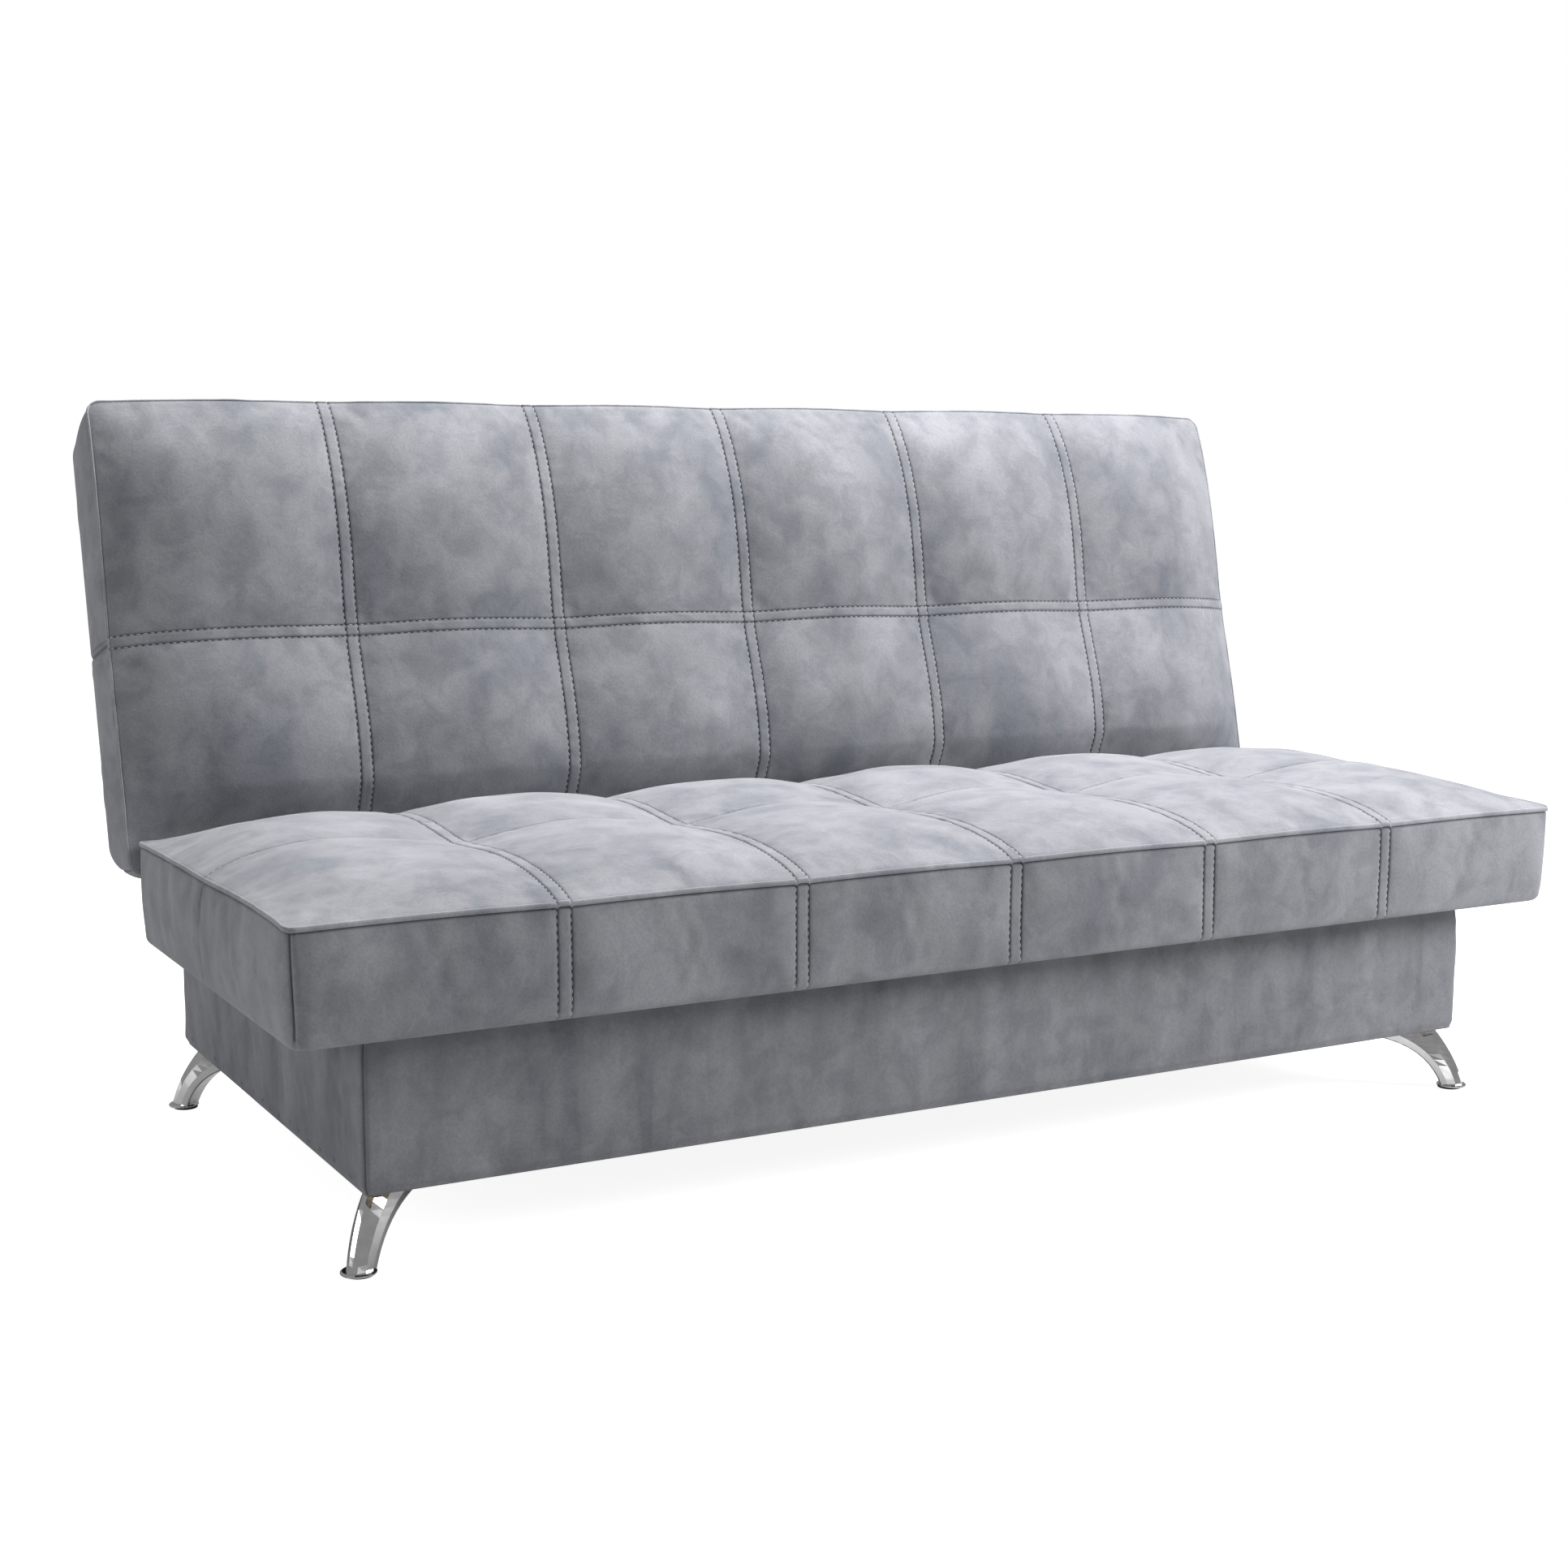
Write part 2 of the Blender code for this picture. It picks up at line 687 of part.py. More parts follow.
def build_seat():
    axis = add_axis("seat_lift_axis", (0, HINGE_Y, HINGE_Z))
    shape = (SEAT_HALF_WIDTH, SEAT_FRONT, SEAT_REAR, 0.0)
    frame_rear = SEAT_REAR - SEAT_FRAME_INSET
    deck_top = build_frame(
        "seat", axis, ("front", "rear"),
        SEAT_HALF_WIDTH, SEAT_FRONT + RAIL_INSET, frame_rear, SEAT_LOW,
    )
    foam = foam_mesh("seat_foam", shape, SEAT_LOW, SEAT_CROWN, deck_top + GAP)
    add_object("seat_foam", foam, "foam", axis)
    skin = cover_mesh("seat_cover", shape, SEAT_LOW, SEAT_CROWN)
    cover = add_object("seat_cover", skin, "velour", axis)
    local_slab(
        "seat_dust_cloth",
        (-SEAT_HALF_WIDTH + CLOTH_INSET, SEAT_FRONT + CLOTH_INSET, SEAT_LOW + 0.0008),
        (SEAT_HALF_WIDTH - CLOTH_INSET, SEAT_REAR - CLOTH_INSET, SEAT_LOW + CLOTH),
        "black_cloth", axis,
    )
    foot_low = SEAT_LOW + RAIL_LIFT
    foot_high = foot_low + RAIL
    flange_y = (frame_rear + GAP, frame_rear + FLANGE)
    outline = arc((0, 0), ARM_EYE, 0, 180, 8)
    outline += [(-ARM_EYE, foot_high), (flange_y[0], foot_high), (flange_y[0], foot_low)]
    outline += [(ARM_EYE, foot_low)]
    notch_high = foot_high + 0.0030
    notch_y = (SEAT_REAR + NOTCH_REACH[0], SEAT_REAR + NOTCH_REACH[1])
    notch_low = SEAT_LOW - 0.0100
    notch = [(notch_y[0], notch_low), (notch_y[1], notch_low)]
    notch += [(notch_y[1], notch_high), (notch_y[0], notch_high)]
    for name, side in SIDES:
        arm_x = mirrored(SEAT_ARM_X, side)
        plate = plate_mesh("seat_arm_plate", outline, [(0.0, 0.0)], arm_x)
        flange_x = mirrored((SEAT_ARM_X[0] - 0.0350, SEAT_ARM_X[0] + 0.0020), side)
        flange = box_mesh(
            "seat_arm_flange", (flange_x[0], flange_y[0], foot_low + 0.008),
            (flange_x[1], flange_y[1], foot_high - 0.001),
        )
        mesh = union_mesh(f"seat_arm_{name}", [plate, flange])
        add_object(f"seat_arm_{name}", mesh, "steel", axis)
        cut(cover, prism(f"seat_notch_{name}", notch, mirrored(NOTCH_X, side), axis))


def build_back():
    axis = add_axis("back_recline_axis", (0, HINGE_Y, HINGE_Z), RECLINE)
    shape = (BACK_HALF_WIDTH, BACK_NEAR, BACK_FAR, BACK_FLAT_ZONE)
    frame_near = BACK_NEAR + BACK_FRAME_INSET
    deck_top = build_frame(
        "back", axis, ("bottom", "top"),
        BACK_HALF_WIDTH - BACK_FRAME_SIDE, frame_near,
        BACK_FAR - RAIL_INSET - BACK_FRAME_SIDE, BACK_LOW,
    )
    foam_shape = foam_mesh("back_foam", shape, BACK_LOW, BACK_CROWN, deck_top + GAP)
    foam = add_object("back_foam", foam_shape, "foam", axis)
    skin = cover_mesh("back_cover", shape, BACK_LOW, BACK_CROWN)
    cover = add_object("back_cover", skin, "velour", axis)
    cloth = local_slab(
        "back_rear_cloth",
        (-BACK_HALF_WIDTH + CLOTH_INSET, BACK_NEAR + CLOTH_INSET, BACK_LOW + 0.0004),
        (BACK_HALF_WIDTH - CLOTH_INSET, BACK_FAR - CLOTH_INSET, BACK_LOW + 0.0004 + CLOTH),
        "velour", axis,
    )
    below = BACK_NEAR - 0.0100
    behind = BACK_LOW - 0.0200
    above = 0.0600
    rear_side = [(SLOT_NEAR_EYE, -0.0270), (SLOT_NEAR_REAR, -0.0940)]
    rear_side += [(SLOT_NEAR_REAR, behind), (below, behind)]
    foam_slot = [(below, above), (SLOT_NEAR_EYE, above)] + rear_side
    cover_slot = [(below, above), (-0.0065, above), (-0.0065, 0.0140), (SLOT_NEAR_EYE, 0.0140)]
    cover_slot += rear_side
    foot_low = BACK_LOW + RAIL_LIFT + 0.001
    foot_high = foot_low + RAIL - 0.002
    flange_y = (frame_near - FLANGE, frame_near - GAP)
    outline = arc((0, 0), ARM_EYE, 0, 180, 8) + [(-ARM_EYE, foot_low)]
    outline += [(flange_y[1], foot_low), (flange_y[1], foot_high), (ARM_EYE, foot_high + 0.012)]
    for name, side in SIDES:
        slot_x = mirrored(SLOT_X, side)
        arm_x = mirrored(BACK_ARM_X, side)
        plate = plate_mesh("back_arm_plate", outline, [(0.0, 0.0)], arm_x)
        flange_x = mirrored((BACK_ARM_X[1] - 0.0020, BACK_ARM_X[1] + 0.0300), side)
        flange = box_mesh(
            "back_arm_flange", (flange_x[0], flange_y[0], foot_low + 0.001),
            (flange_x[1], flange_y[1], foot_high - 0.001),
        )
        mesh = union_mesh(f"back_arm_{name}", [plate, flange])
        add_object(f"back_arm_{name}", mesh, "steel", axis)
        cut(foam, prism(f"foam_slot_{name}", foam_slot, slot_x, axis))
        cover_cutter = prism(f"cover_slot_{name}", cover_slot, slot_x, axis)
        cut(cover, cover_cutter)
        cut(cloth, cover_cutter)


def main():
    clear_scene()
    build_box()
    build_box_covers()
    build_legs()
    build_base_plates()
    build_links()
    build_carriage()
    build_seat()
    build_back()


main()
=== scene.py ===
"""The looks of an armless click-clack sofa bed: quilted velour, an upholstered box, chrome legs."""
import json
import math

import bmesh
import bpy
import numpy as np
from mathutils import Matrix, Vector

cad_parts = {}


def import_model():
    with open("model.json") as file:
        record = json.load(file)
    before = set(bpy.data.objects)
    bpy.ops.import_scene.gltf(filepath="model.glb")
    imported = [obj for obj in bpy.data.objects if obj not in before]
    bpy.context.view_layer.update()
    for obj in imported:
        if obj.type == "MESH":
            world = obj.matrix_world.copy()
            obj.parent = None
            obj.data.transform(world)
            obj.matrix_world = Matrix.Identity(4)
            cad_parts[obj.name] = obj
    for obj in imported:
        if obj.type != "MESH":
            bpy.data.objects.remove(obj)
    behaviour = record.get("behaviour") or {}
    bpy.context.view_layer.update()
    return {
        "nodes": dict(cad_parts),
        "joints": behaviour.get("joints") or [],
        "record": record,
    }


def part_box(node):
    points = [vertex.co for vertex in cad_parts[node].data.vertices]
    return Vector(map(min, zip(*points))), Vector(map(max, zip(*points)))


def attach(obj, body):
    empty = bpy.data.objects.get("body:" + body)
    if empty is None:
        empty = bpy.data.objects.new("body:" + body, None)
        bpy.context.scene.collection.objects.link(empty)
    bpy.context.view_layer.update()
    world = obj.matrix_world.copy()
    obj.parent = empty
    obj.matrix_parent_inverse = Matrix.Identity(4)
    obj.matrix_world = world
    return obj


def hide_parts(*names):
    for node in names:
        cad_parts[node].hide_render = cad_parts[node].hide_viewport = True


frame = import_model()
MM = 0.001

# ---- the frame's own places

JOINTS = {joint["name"]: joint for joint in frame["joints"]}
HINGE = Vector(JOINTS["back_recline"]["pos_m"])
RECLINE = math.radians(max(JOINTS["back_recline"]["range_deg"]))
SEAT_MATRIX = Matrix.Translation(HINGE)
BACK_MATRIX = Matrix.Translation(HINGE) @ Matrix.Rotation(RECLINE, 4, "X")


def local_box(node, matrix):
    """A node's lowest and highest corners, measured along a cushion's own axes."""
    inverse = matrix.inverted()
    places = np.array([inverse @ v.co for v in frame["nodes"][node].data.vertices])
    return places.min(0), places.max(0)


# ---- numbers of the cushions

WELT_HEIGHT = 0.135             # side border, from under edge to welt, on the back
SEAT_WELT_HEIGHT = 0.140
LIP = 0.030                     # how far the cover is folded under
SKIN = 0.0025                   # thickness of the folded part
SIM_CELLS = 22                  # cloth cells along a square
SIM_ROWS = 8                    # cloth cells down a border
SIM_FRAMES = 20
SIM_PRESSURE = 4.0
SIM_CAP = 0.022                 # farthest that the cloth may move
SIM_SHRINK = -0.003             # a little more cloth than the shape needs
FINE_STEP = 0.0046              # finished surface, away from the seams
NEAR_SEAM = [                   # distances of the fine grid's lines from a seam
    0.0012, 0.0026, 0.0045, 0.0064, 0.0077, 0.0083, 0.0088, 0.0093, 0.0099, 0.0114, 0.0140, 0.0180,
]
NEAR_WELT = [0, 0.012, 0.027, 0.038, 0.046, 0.056, 0.070, 0.092]    # shares of a border's depth
INSET_EASE = 0.12               # how far in from an edge an inset fades out
BAND = 0.0088                   # half the distance between two rows of topstitching
GROOVE_DEPTH = 1.6 * MM         # under a row of stitches
GROOVE_WIDTH = 1.1 * MM
UNDER_STEPS = 8                 # rows round the lower edge
STITCHED_UNDER = 3              # of which the stitches follow these
WALL = 0.0115                   # thickness of a border beside the frame
SHEET_BODY = 0.0012             # half the fold of a stretched sheet's hem
STITCH_PITCH = 0.0092
STITCH_LENGTH = 0.0070
THREAD_RADIUS = 0.00080
# Size of the dark disc of painted shade that stands for a needle hole.
HOLE = (0.0016, 0.0010, 0.0003) # needle hole: along the seam, across it, height

SEAT = dict(
    name="seat", matrix=SEAT_MATRIX, cover="seat_cover", welt_height=SEAT_WELT_HEIGHT,
    columns=[-0.626, -0.313, 0.0, 0.313, 0.626], middle=-0.388,
    band_y=0.0, under_radius=0.014, end_radius=0.014, corner=0.012, low_corner=0.024,
    border_bulge=0.0055, flat_side=1, side_seam_curve=0.034, hinge_ramp=None,
    column_heights=(0.0, 0.022, -0.008), column_bulges=(0.019, 0.027),
    end_heights=(0.0, 0.003, -0.002), end_bulges=(0.005, 0.002),
    low_bulge=0.0015, middle_bulge=(0.019, 0.029), high_bulge=0.0,
    puffs=((0.003, 0.006), (0.008, 0.011)), seed=3,
)
BACK = dict(
    name="back", matrix=BACK_MATRIX, cover="back_cover", welt_height=WELT_HEIGHT,
    columns=[-0.632, -0.316, 0.0, 0.316, 0.632], middle=0.281,
    band_y=0.0080, under_radius=0.026, end_radius=0.014, corner=0.018, low_corner=0.050,
    border_bulge=0.0045, flat_side=-1, side_seam_curve=0.0, hinge_ramp=(-0.012, 0.085),
    column_heights=(0.0, 0.042, 0.010), column_bulges=(0.031, 0.028),
    end_heights=(-0.004, 0.001, -0.004), end_bulges=(0.004, 0.011),
    low_bulge=0.0, middle_bulge=(0.020, 0.027), high_bulge=0.010,
    puffs=((0.008, 0.020), (0.006, 0.018)), seed=11,
)

ARM_SLOT_X = (0.7930, 0.8260)   # in both cushions, room for the hinge arms and the carrier
BACK_SLOT = [                   # (y, z) from the hinge line
    (-0.0450, 0.0600), (-0.0065, 0.0600), (-0.0065, 0.0140), (0.0145, 0.0140), (0.0145, -0.0270),
    (0.0280, -0.0940), (0.0280, -0.1400), (-0.0450, -0.1400),
]
NOTCH_X = (0.7979, 0.8089)
SEAT_NOTCH = [(-0.0545, -0.1320), (-0.0295, -0.1320), (-0.0295, -0.0910), (-0.0545, -0.0910)]


# ---- small helpers

def waves(seed, count, shortest, longest):
    """A smooth, seeded field over a plane: returns a function of x and y, about -1 to 1."""
    rng = np.random.default_rng(seed)
    length = rng.uniform(shortest, longest, count)
    angle = rng.uniform(0, 2 * np.pi, count)
    phase = rng.uniform(0, 2 * np.pi, count)
    kx, ky = 2 * np.pi * np.cos(angle) / length, 2 * np.pi * np.sin(angle) / length

    def field(x, y):
        total = np.zeros(np.broadcast(x, y).shape)
        for a, b, p in zip(kx, ky, phase):
            total += np.sin(a * x + b * y + p)
        return total / math.sqrt(count)

    return field


def arch(t):
    """Steep from the outer edge at 0, full at 0.4, and gently down to the inner seam at 1."""
    t = np.clip(t, 0, 1)
    rise = (1 - np.clip(1 - t / 0.4, 0, 1) ** 2) ** 0.7
    fall = np.clip(np.cos(np.pi / 2 * np.clip((t - 0.4) / 0.6, 0, 1)), 0, 1) ** 1.2
    return np.where(t < 0.4, rise, fall)


def mound(t):
    return 1 - np.abs(2 * np.clip(t, 0, 1) - 1) ** 2.2


def bell(distance, width):
    return np.exp(-(distance / width) ** 2)


def smooth(t):
    t = np.clip(t, 0, 1)
    return t * t * (3 - 2 * t)


def sewn_band(distance, half, lift):
    """Height across two rows of stitches: a groove under each row and a raised band between."""
    band = lift * np.clip(1 - (distance / half) ** 4, 0, 1)
    return band - GROOVE_DEPTH * bell(distance - half, GROOVE_WIDTH)


def drawn_in(values, low, high, inset):
    """Places along one axis, moved in from both edges by an inset that fades out inwards."""
    from_low = smooth(1 - (values - low) / INSET_EASE)
    from_high = smooth(1 - (high - values) / INSET_EASE)
    return values + inset * (from_low - from_high)


def outline_of(grid):
    """The rim of a grid as one closed row, counter-clockwise from its first corner."""
    sides = (grid[:, 0], grid[-1, :], grid[::-1, -1], grid[0, ::-1])
    return np.concatenate([s[:-1] for s in sides])


def mesh_object(name, points, faces, materials, smooth_shading=True):
    mesh = bpy.data.meshes.new(name)
    mesh.from_pydata([tuple(p) for p in points], [], faces)
    mesh.validate()
    mesh.update()
    if smooth_shading:
        mesh.shade_smooth()
    for item in materials:
        mesh.materials.append(item)
    obj = bpy.data.objects.new(name, mesh)
    bpy.context.scene.collection.objects.link(obj)
    return obj


def store_crease_shade(obj, values):
    """How deep in a crease or seam each point lies, for the velour to darken as painted shade."""
    values = np.concatenate([values, np.zeros(len(obj.data.vertices) - len(values))])
    obj.data.attributes.new("crease_shade", "FLOAT", "POINT").data.foreach_set("value", values)


def cut_slots(obj, outline, x_range, matrix):
    """Takes a slot out of both ends of a piece. The outline is (y, z) from the hinge line."""
    count = len(outline)
    for side in (-1, 1):
        points = [(side * x, y, z) for x in x_range for y, z in outline]
        faces = [tuple(range(count)), tuple(range(2 * count - 1, count - 1, -1))]
        faces += [(k, count + k, count + (k + 1) % count, (k + 1) % count) for k in range(count)]
        cutter = mesh_object("slot", points, faces, [], False)
        shape = bmesh.new()
        shape.from_mesh(cutter.data)
        bmesh.ops.recalc_face_normals(shape, faces=shape.faces)
        shape.to_mesh(cutter.data)
        shape.free()
        cutter.data.transform(matrix)
        modifier = obj.modifiers.new("slot", "BOOLEAN")
        modifier.operation = "DIFFERENCE"
        modifier.solver = "MANIFOLD"
        modifier.object = cutter
        graph = bpy.context.evaluated_depsgraph_get()
        cut = bpy.data.meshes.new_from_object(obj.evaluated_get(graph))
        obj.modifiers.clear()
        obj.data = cut
        bpy.data.objects.remove(cutter)


# ---- one cushion's shape

class Shape:
    """Places of a cushion's face and borders, in its own axes, for any set of grid lines."""

    def __init__(self, numbers):
        self.n = numbers
        low, high = local_box(numbers["cover"], numbers["matrix"])
        self.half = float(high[0])
        self.y_low, self.y_high, self.z_low = float(low[1]), float(high[1]), float(low[2])
        self.z_welt = self.z_low + numbers["welt_height"]
        self.x_edges = [-self.half] + numbers["columns"] + [self.half]
        self.y_edges = [self.y_low, numbers["middle"], self.y_high]
        self.soft = waves(numbers["seed"], 14, 0.07, 0.22)
        self.fine = waves(numbers["seed"] + 1, 16, 0.016, 0.034)

    def intervals(self, edges, band):
        """Start and end of each square along one axis, between the bands of the seams."""
        last = len(edges) - 2
        return [
            (edges[k] + (band if k > 0 else 0), edges[k + 1] - (band if k < last else 0))
            for k in range(last + 1)
        ]

    def spans(self):
        return self.intervals(self.x_edges, BAND), self.intervals(self.y_edges, self.n["band_y"])

    def share(self, values, spans):
        """Number of the square and how far across it, for each value."""
        index = np.zeros(len(values), int)
        for k in range(1, len(spans)):
            index[values > (spans[k - 1][1] + spans[k][0]) / 2] = k
        start = np.array([s[0] for s in spans])[index]
        end = np.array([s[1] for s in spans])[index]
        return index, np.clip((values - start) / (end - start), 0, 1)

    def column_line(self, heights, bulges, row, b):
        outer = b if row == 0 else 1 - b
        return heights[row] * (1 - b) + heights[row + 1] * b + bulges[row] * arch(outer)

    def row_line(self, line, end_column, a, outer):
        """Height of a cross line: 0 the low welt, 1 the middle seam, 2 the high welt."""
        n = self.n
        left = n["end_heights" if end_column == -1 else "column_heights"][line]
        right = n["end_heights" if end_column == 1 else "column_heights"][line]
        if line == 1:
            bulge = n["middle_bulge"][1 if end_column else 0]
            rise = arch(outer) if end_column else np.sin(np.pi * a) ** 1.2
        else:
            bulge = n["low_bulge"] if line == 0 else n["high_bulge"]
            rise = np.sin(np.pi * a)
        return left * (1 - a) + right * a + bulge * rise

    def height(self, x, y):
        """Height of the face over the welt's plane: each square is a Coons patch between its lines."""
        x_spans, y_spans = self.spans()
        columns, a = self.share(x, x_spans)
        rows, b = self.share(y, y_spans)
        n, last = self.n, len(x_spans) - 1
        out = np.zeros((len(x), len(y)))
        for column in range(last + 1):
            xs = np.where(columns == column)[0]
            end = -1 if column == 0 else (1 if column == last else 0)
            aa = a[xs][:, None]
            outer = aa if end == -1 else 1 - aa
            for row in (0, 1):
                ys = np.where(rows == row)[0]
                bb = b[ys][None, :]
                seam = self.column_line(n["column_heights"], n["column_bulges"], row, bb)
                edge = self.column_line(n["end_heights"], n["end_bulges"], row, bb)
                left, right = (edge if end == -1 else seam), (edge if end == 1 else seam)
                low, high = self.row_line(row, end, aa, outer), self.row_line(row + 1, end, aa, outer)
                corner = [
                    self.row_line(line, end, at, at if end == -1 else 1 - at)
                    for line in (row, row + 1) for at in (np.zeros((1, 1)), np.ones((1, 1)))
                ]
                patch = (1 - aa) * left + aa * right + (1 - bb) * low + bb * high
                patch = patch - (1 - aa) * (1 - bb) * corner[0] - aa * (1 - bb) * corner[1]
                patch = patch - (1 - aa) * bb * corner[2] - aa * bb * corner[3]
                puff = n["puffs"][row][1 if end else 0]
                patch = patch + puff * mound(aa) * mound(bb)
                out[np.ix_(xs, ys)] = patch
        return out * self.ramp(y)

    def ramp(self, y):
        """Takes the crown away beside the hinge line, where the two cushions fold together."""
        if not self.n["hinge_ramp"]:
            return np.ones(len(y))
        start, length = self.n["hinge_ramp"]
        return smooth((y - start) / length)

    def seam_relief(self, x, y):
        """Grooves under the stitches, the raised band between two rows, and small puckers."""
        relief = np.zeros((len(x), len(y)))
        x2, y2 = np.meshgrid(x, y, indexing="ij")
        nearest = np.full((len(x), len(y)), 1.0)
        for seam in self.n["columns"]:
            s = np.abs(x2 - seam)
            relief += sewn_band(s, BAND, 1.1 * MM)
            nearest = np.minimum(nearest, np.abs(s - BAND))
        s = np.abs(y2 - self.n["middle"])
        band = self.n["band_y"]
        if band:
            relief += sewn_band(s, band, 1.0 * MM)
        else:
            relief -= GROOVE_DEPTH * bell(s, 1.6 * MM)
        nearest = np.minimum(nearest, np.abs(s - band))
        edge = np.minimum(np.minimum(self.half - np.abs(x2), self.y_high - y2), y2 - self.y_low)
        nearest = np.minimum(nearest, edge)
        inner = smooth(edge / 0.012)
        relief += 0.40 * MM * self.fine(x2, y2) * np.exp(-nearest / 0.016) * inner
        relief += 0.9 * MM * self.soft(x2, y2) * smooth(nearest / 0.05) * inner
        # Painted shade: how deep each point lies in a seam's groove or at the face's edge, for the
        # velour to darken.
        self.crease_shade = np.maximum(bell(nearest, 1.5 * MM), 0.2 * bell(edge, 2.2 * MM))
        self.crease_shade[edge < 0.004] *= 0.3
        return relief

    def rounded(self, x2, y2, radius, inset=(0.0, 0.0)):
        """The plan with its four corners rounded."""
        for side_x in (-1, 1):
            for side_y in (-1, 1):
                cx = side_x * (self.half - inset[0] - radius)
                edge_y = self.y_high if side_y > 0 else self.y_low
                cy = edge_y - side_y * inset[1] - side_y * radius
                dx, dy = (x2 - cx) * side_x / radius, (y2 - cy) * side_y / radius
                inside = (dx > 0) & (dy > 0)
                nx = dx * np.sqrt(np.clip(1 - dy * dy / 2, 0, 1))
                ny = dy * np.sqrt(np.clip(1 - dx * dx / 2, 0, 1))
                x2 = np.where(inside, cx + side_x * nx * radius, x2)
                y2 = np.where(inside, cy + side_y * ny * radius, y2)
        return x2, y2

    def face(self, x, y):
        z = self.height(x, y)
        x2, y2 = np.meshgrid(x, y, indexing="ij")
        x2, y2 = self.rounded(x2, y2, self.n["corner"])
        return np.stack([x2, y2, self.z_welt + z], axis=-1)

    def plan(self, square, radius, inset=(0.0, 0.0)):
        """An outline with square corners, moved inwards and rounded, and its outward directions."""
        x = drawn_in(square[:, 0], -self.half, self.half, inset[0])
        y = drawn_in(square[:, 1], self.y_low, self.y_high, inset[1])
        x, y = self.rounded(x, y, radius, inset)
        points = np.column_stack([x, y])
        along = np.roll(points, -1, 0) - np.roll(points, 1, 0)
        outward = np.column_stack([along[:, 1], -along[:, 0], np.zeros(len(x))])
        return points, outward / np.linalg.norm(outward, axis=1)[:, None]

    def square(self, x, y):
        return outline_of(np.stack(np.meshgrid(x, y, indexing="ij"), axis=-1))

    def border(self, grid, square, shares):
        """Points down the border from the welt to where it rounds under, and outward directions."""
        n, top = self.n, outline_of(grid)
        corner, low_corner = n["corner"], n["low_corner"]
        x_spans, y_spans = self.spans()
        _, a = self.share(square[:, 0], x_spans)
        on_end = np.abs(square[:, 0]) > self.half - 1e-6
        bottom = self.z_low + self.under_radii(square)
        rows, outs = [], []
        for s in shares:
            _, b = self.share(square[:, 1] - self.side_curve(square[:, 1], s), y_spans)
            points, outward = self.plan(square, corner + (low_corner - corner) * s ** 1.5)
            bulge = n["border_bulge"] * np.clip(np.sin(np.pi * np.where(on_end, b, a)), 0, 1) ** 0.5
            bulge = bulge * (1 - self.meets(outward)) * math.sin(math.pi * s) ** 0.8
            row = np.column_stack([points, top[:, 2] + (bottom - top[:, 2]) * s])
            rows.append(row + outward * bulge[:, None])
            outs.append(outward)
        return np.stack(rows, axis=1), np.stack(outs, axis=1)

    def meets(self, outward):
        """How squarely a border faces the other cushion, 0 to 1; it stays flat where it does."""
        return np.clip(self.n["flat_side"] * outward[..., 1], 0, 1)

    def side_curve(self, y, depth):
        """How far the seam of the side border has moved along y at a share of the border's depth."""
        near = np.clip(1 - np.abs(y - self.n["middle"]) / 0.25, 0, 1)
        return self.n["side_seam_curve"] * (1 - np.exp(-depth / 0.22)) * near

    def under_radii(self, square):
        """Radius of the lower edge round the outline: one at the ends, another on the long sides."""
        n = self.n
        _, outward = self.plan(square, n["low_corner"])
        return n["end_radius"] * outward[:, 0] ** 2 + n["under_radius"] * outward[:, 1] ** 2


# ---- grids and cloth

def coarse_lines(spans):
    """Grid lines for the cloth simulation, evenly spaced in each square."""
    lines = []
    for start, end in spans:
        lines += list(np.linspace(start, end, SIM_CELLS + 1))
    return np.array(sorted(set(np.round(lines, 7))))


def fine_lines(edges):
    """Grid lines for the finished surface: close together along the seams and edges."""
    lines = []
    for start, end in zip(edges, edges[1:]):
        near = [start + d for d in NEAR_SEAM] + [end - d for d in NEAR_SEAM]
        first, last = start + NEAR_SEAM[-1], end - NEAR_SEAM[-1]
        count = max(2, round((last - first) / FINE_STEP))
        lines += [start, end] + near + list(np.linspace(first, last, count + 1))
    return np.array(sorted(set(np.round(lines, 7))))


def spread(spans, coarse, fine):
    """Matrix that carries values on the coarse lines to the fine lines, smooth inside each square."""
    matrix = np.zeros((len(fine), len(coarse)))
    for start, end in spans:
        own = [k for k, c in enumerate(coarse) if start - 1e-6 <= c <= end + 1e-6]
        count = len(own) - 1
        for row, value in enumerate(fine):
            if not start - 1e-6 <= value <= end + 1e-6:
                continue
            t = np.clip((value - start) / (end - start), 0, 1) * count
            k = min(int(t), count - 1)
            f = t - k
            weights = {
                k - 1: (-f + 2 * f * f - f ** 3) / 2,
                k: (2 - 5 * f * f + 3 * f ** 3) / 2,
                k + 1: (f + 4 * f * f - 3 * f ** 3) / 2,
                k + 2: (-f * f + f ** 3) / 2,
            }
            matrix[row] = 0
            for place, weight in weights.items():
                if place < 0:
                    matrix[row, own[0]] += 2 * weight
                    matrix[row, own[1]] -= weight
                elif place > count:
                    matrix[row, own[count]] += 2 * weight
                    matrix[row, own[count - 1]] -= weight
                else:
                    matrix[row, own[place]] += weight
    return matrix


def grid_faces(count_x, count_y, number):
    """Quads of a grid whose point numbers are given by number[ix, iy], facing up."""
    return [
        (number[i, j], number[i + 1, j], number[i + 1, j + 1], number[i, j + 1])
        for i in range(count_x - 1) for j in range(count_y - 1)
    ]


def band_faces(upper, lower):
    """Quads between two closed rows of point numbers, facing outwards when upper is above."""
    count = len(upper)
    return [
        (upper[k], lower[k], lower[(k + 1) % count], upper[(k + 1) % count]) for k in range(count)
    ]


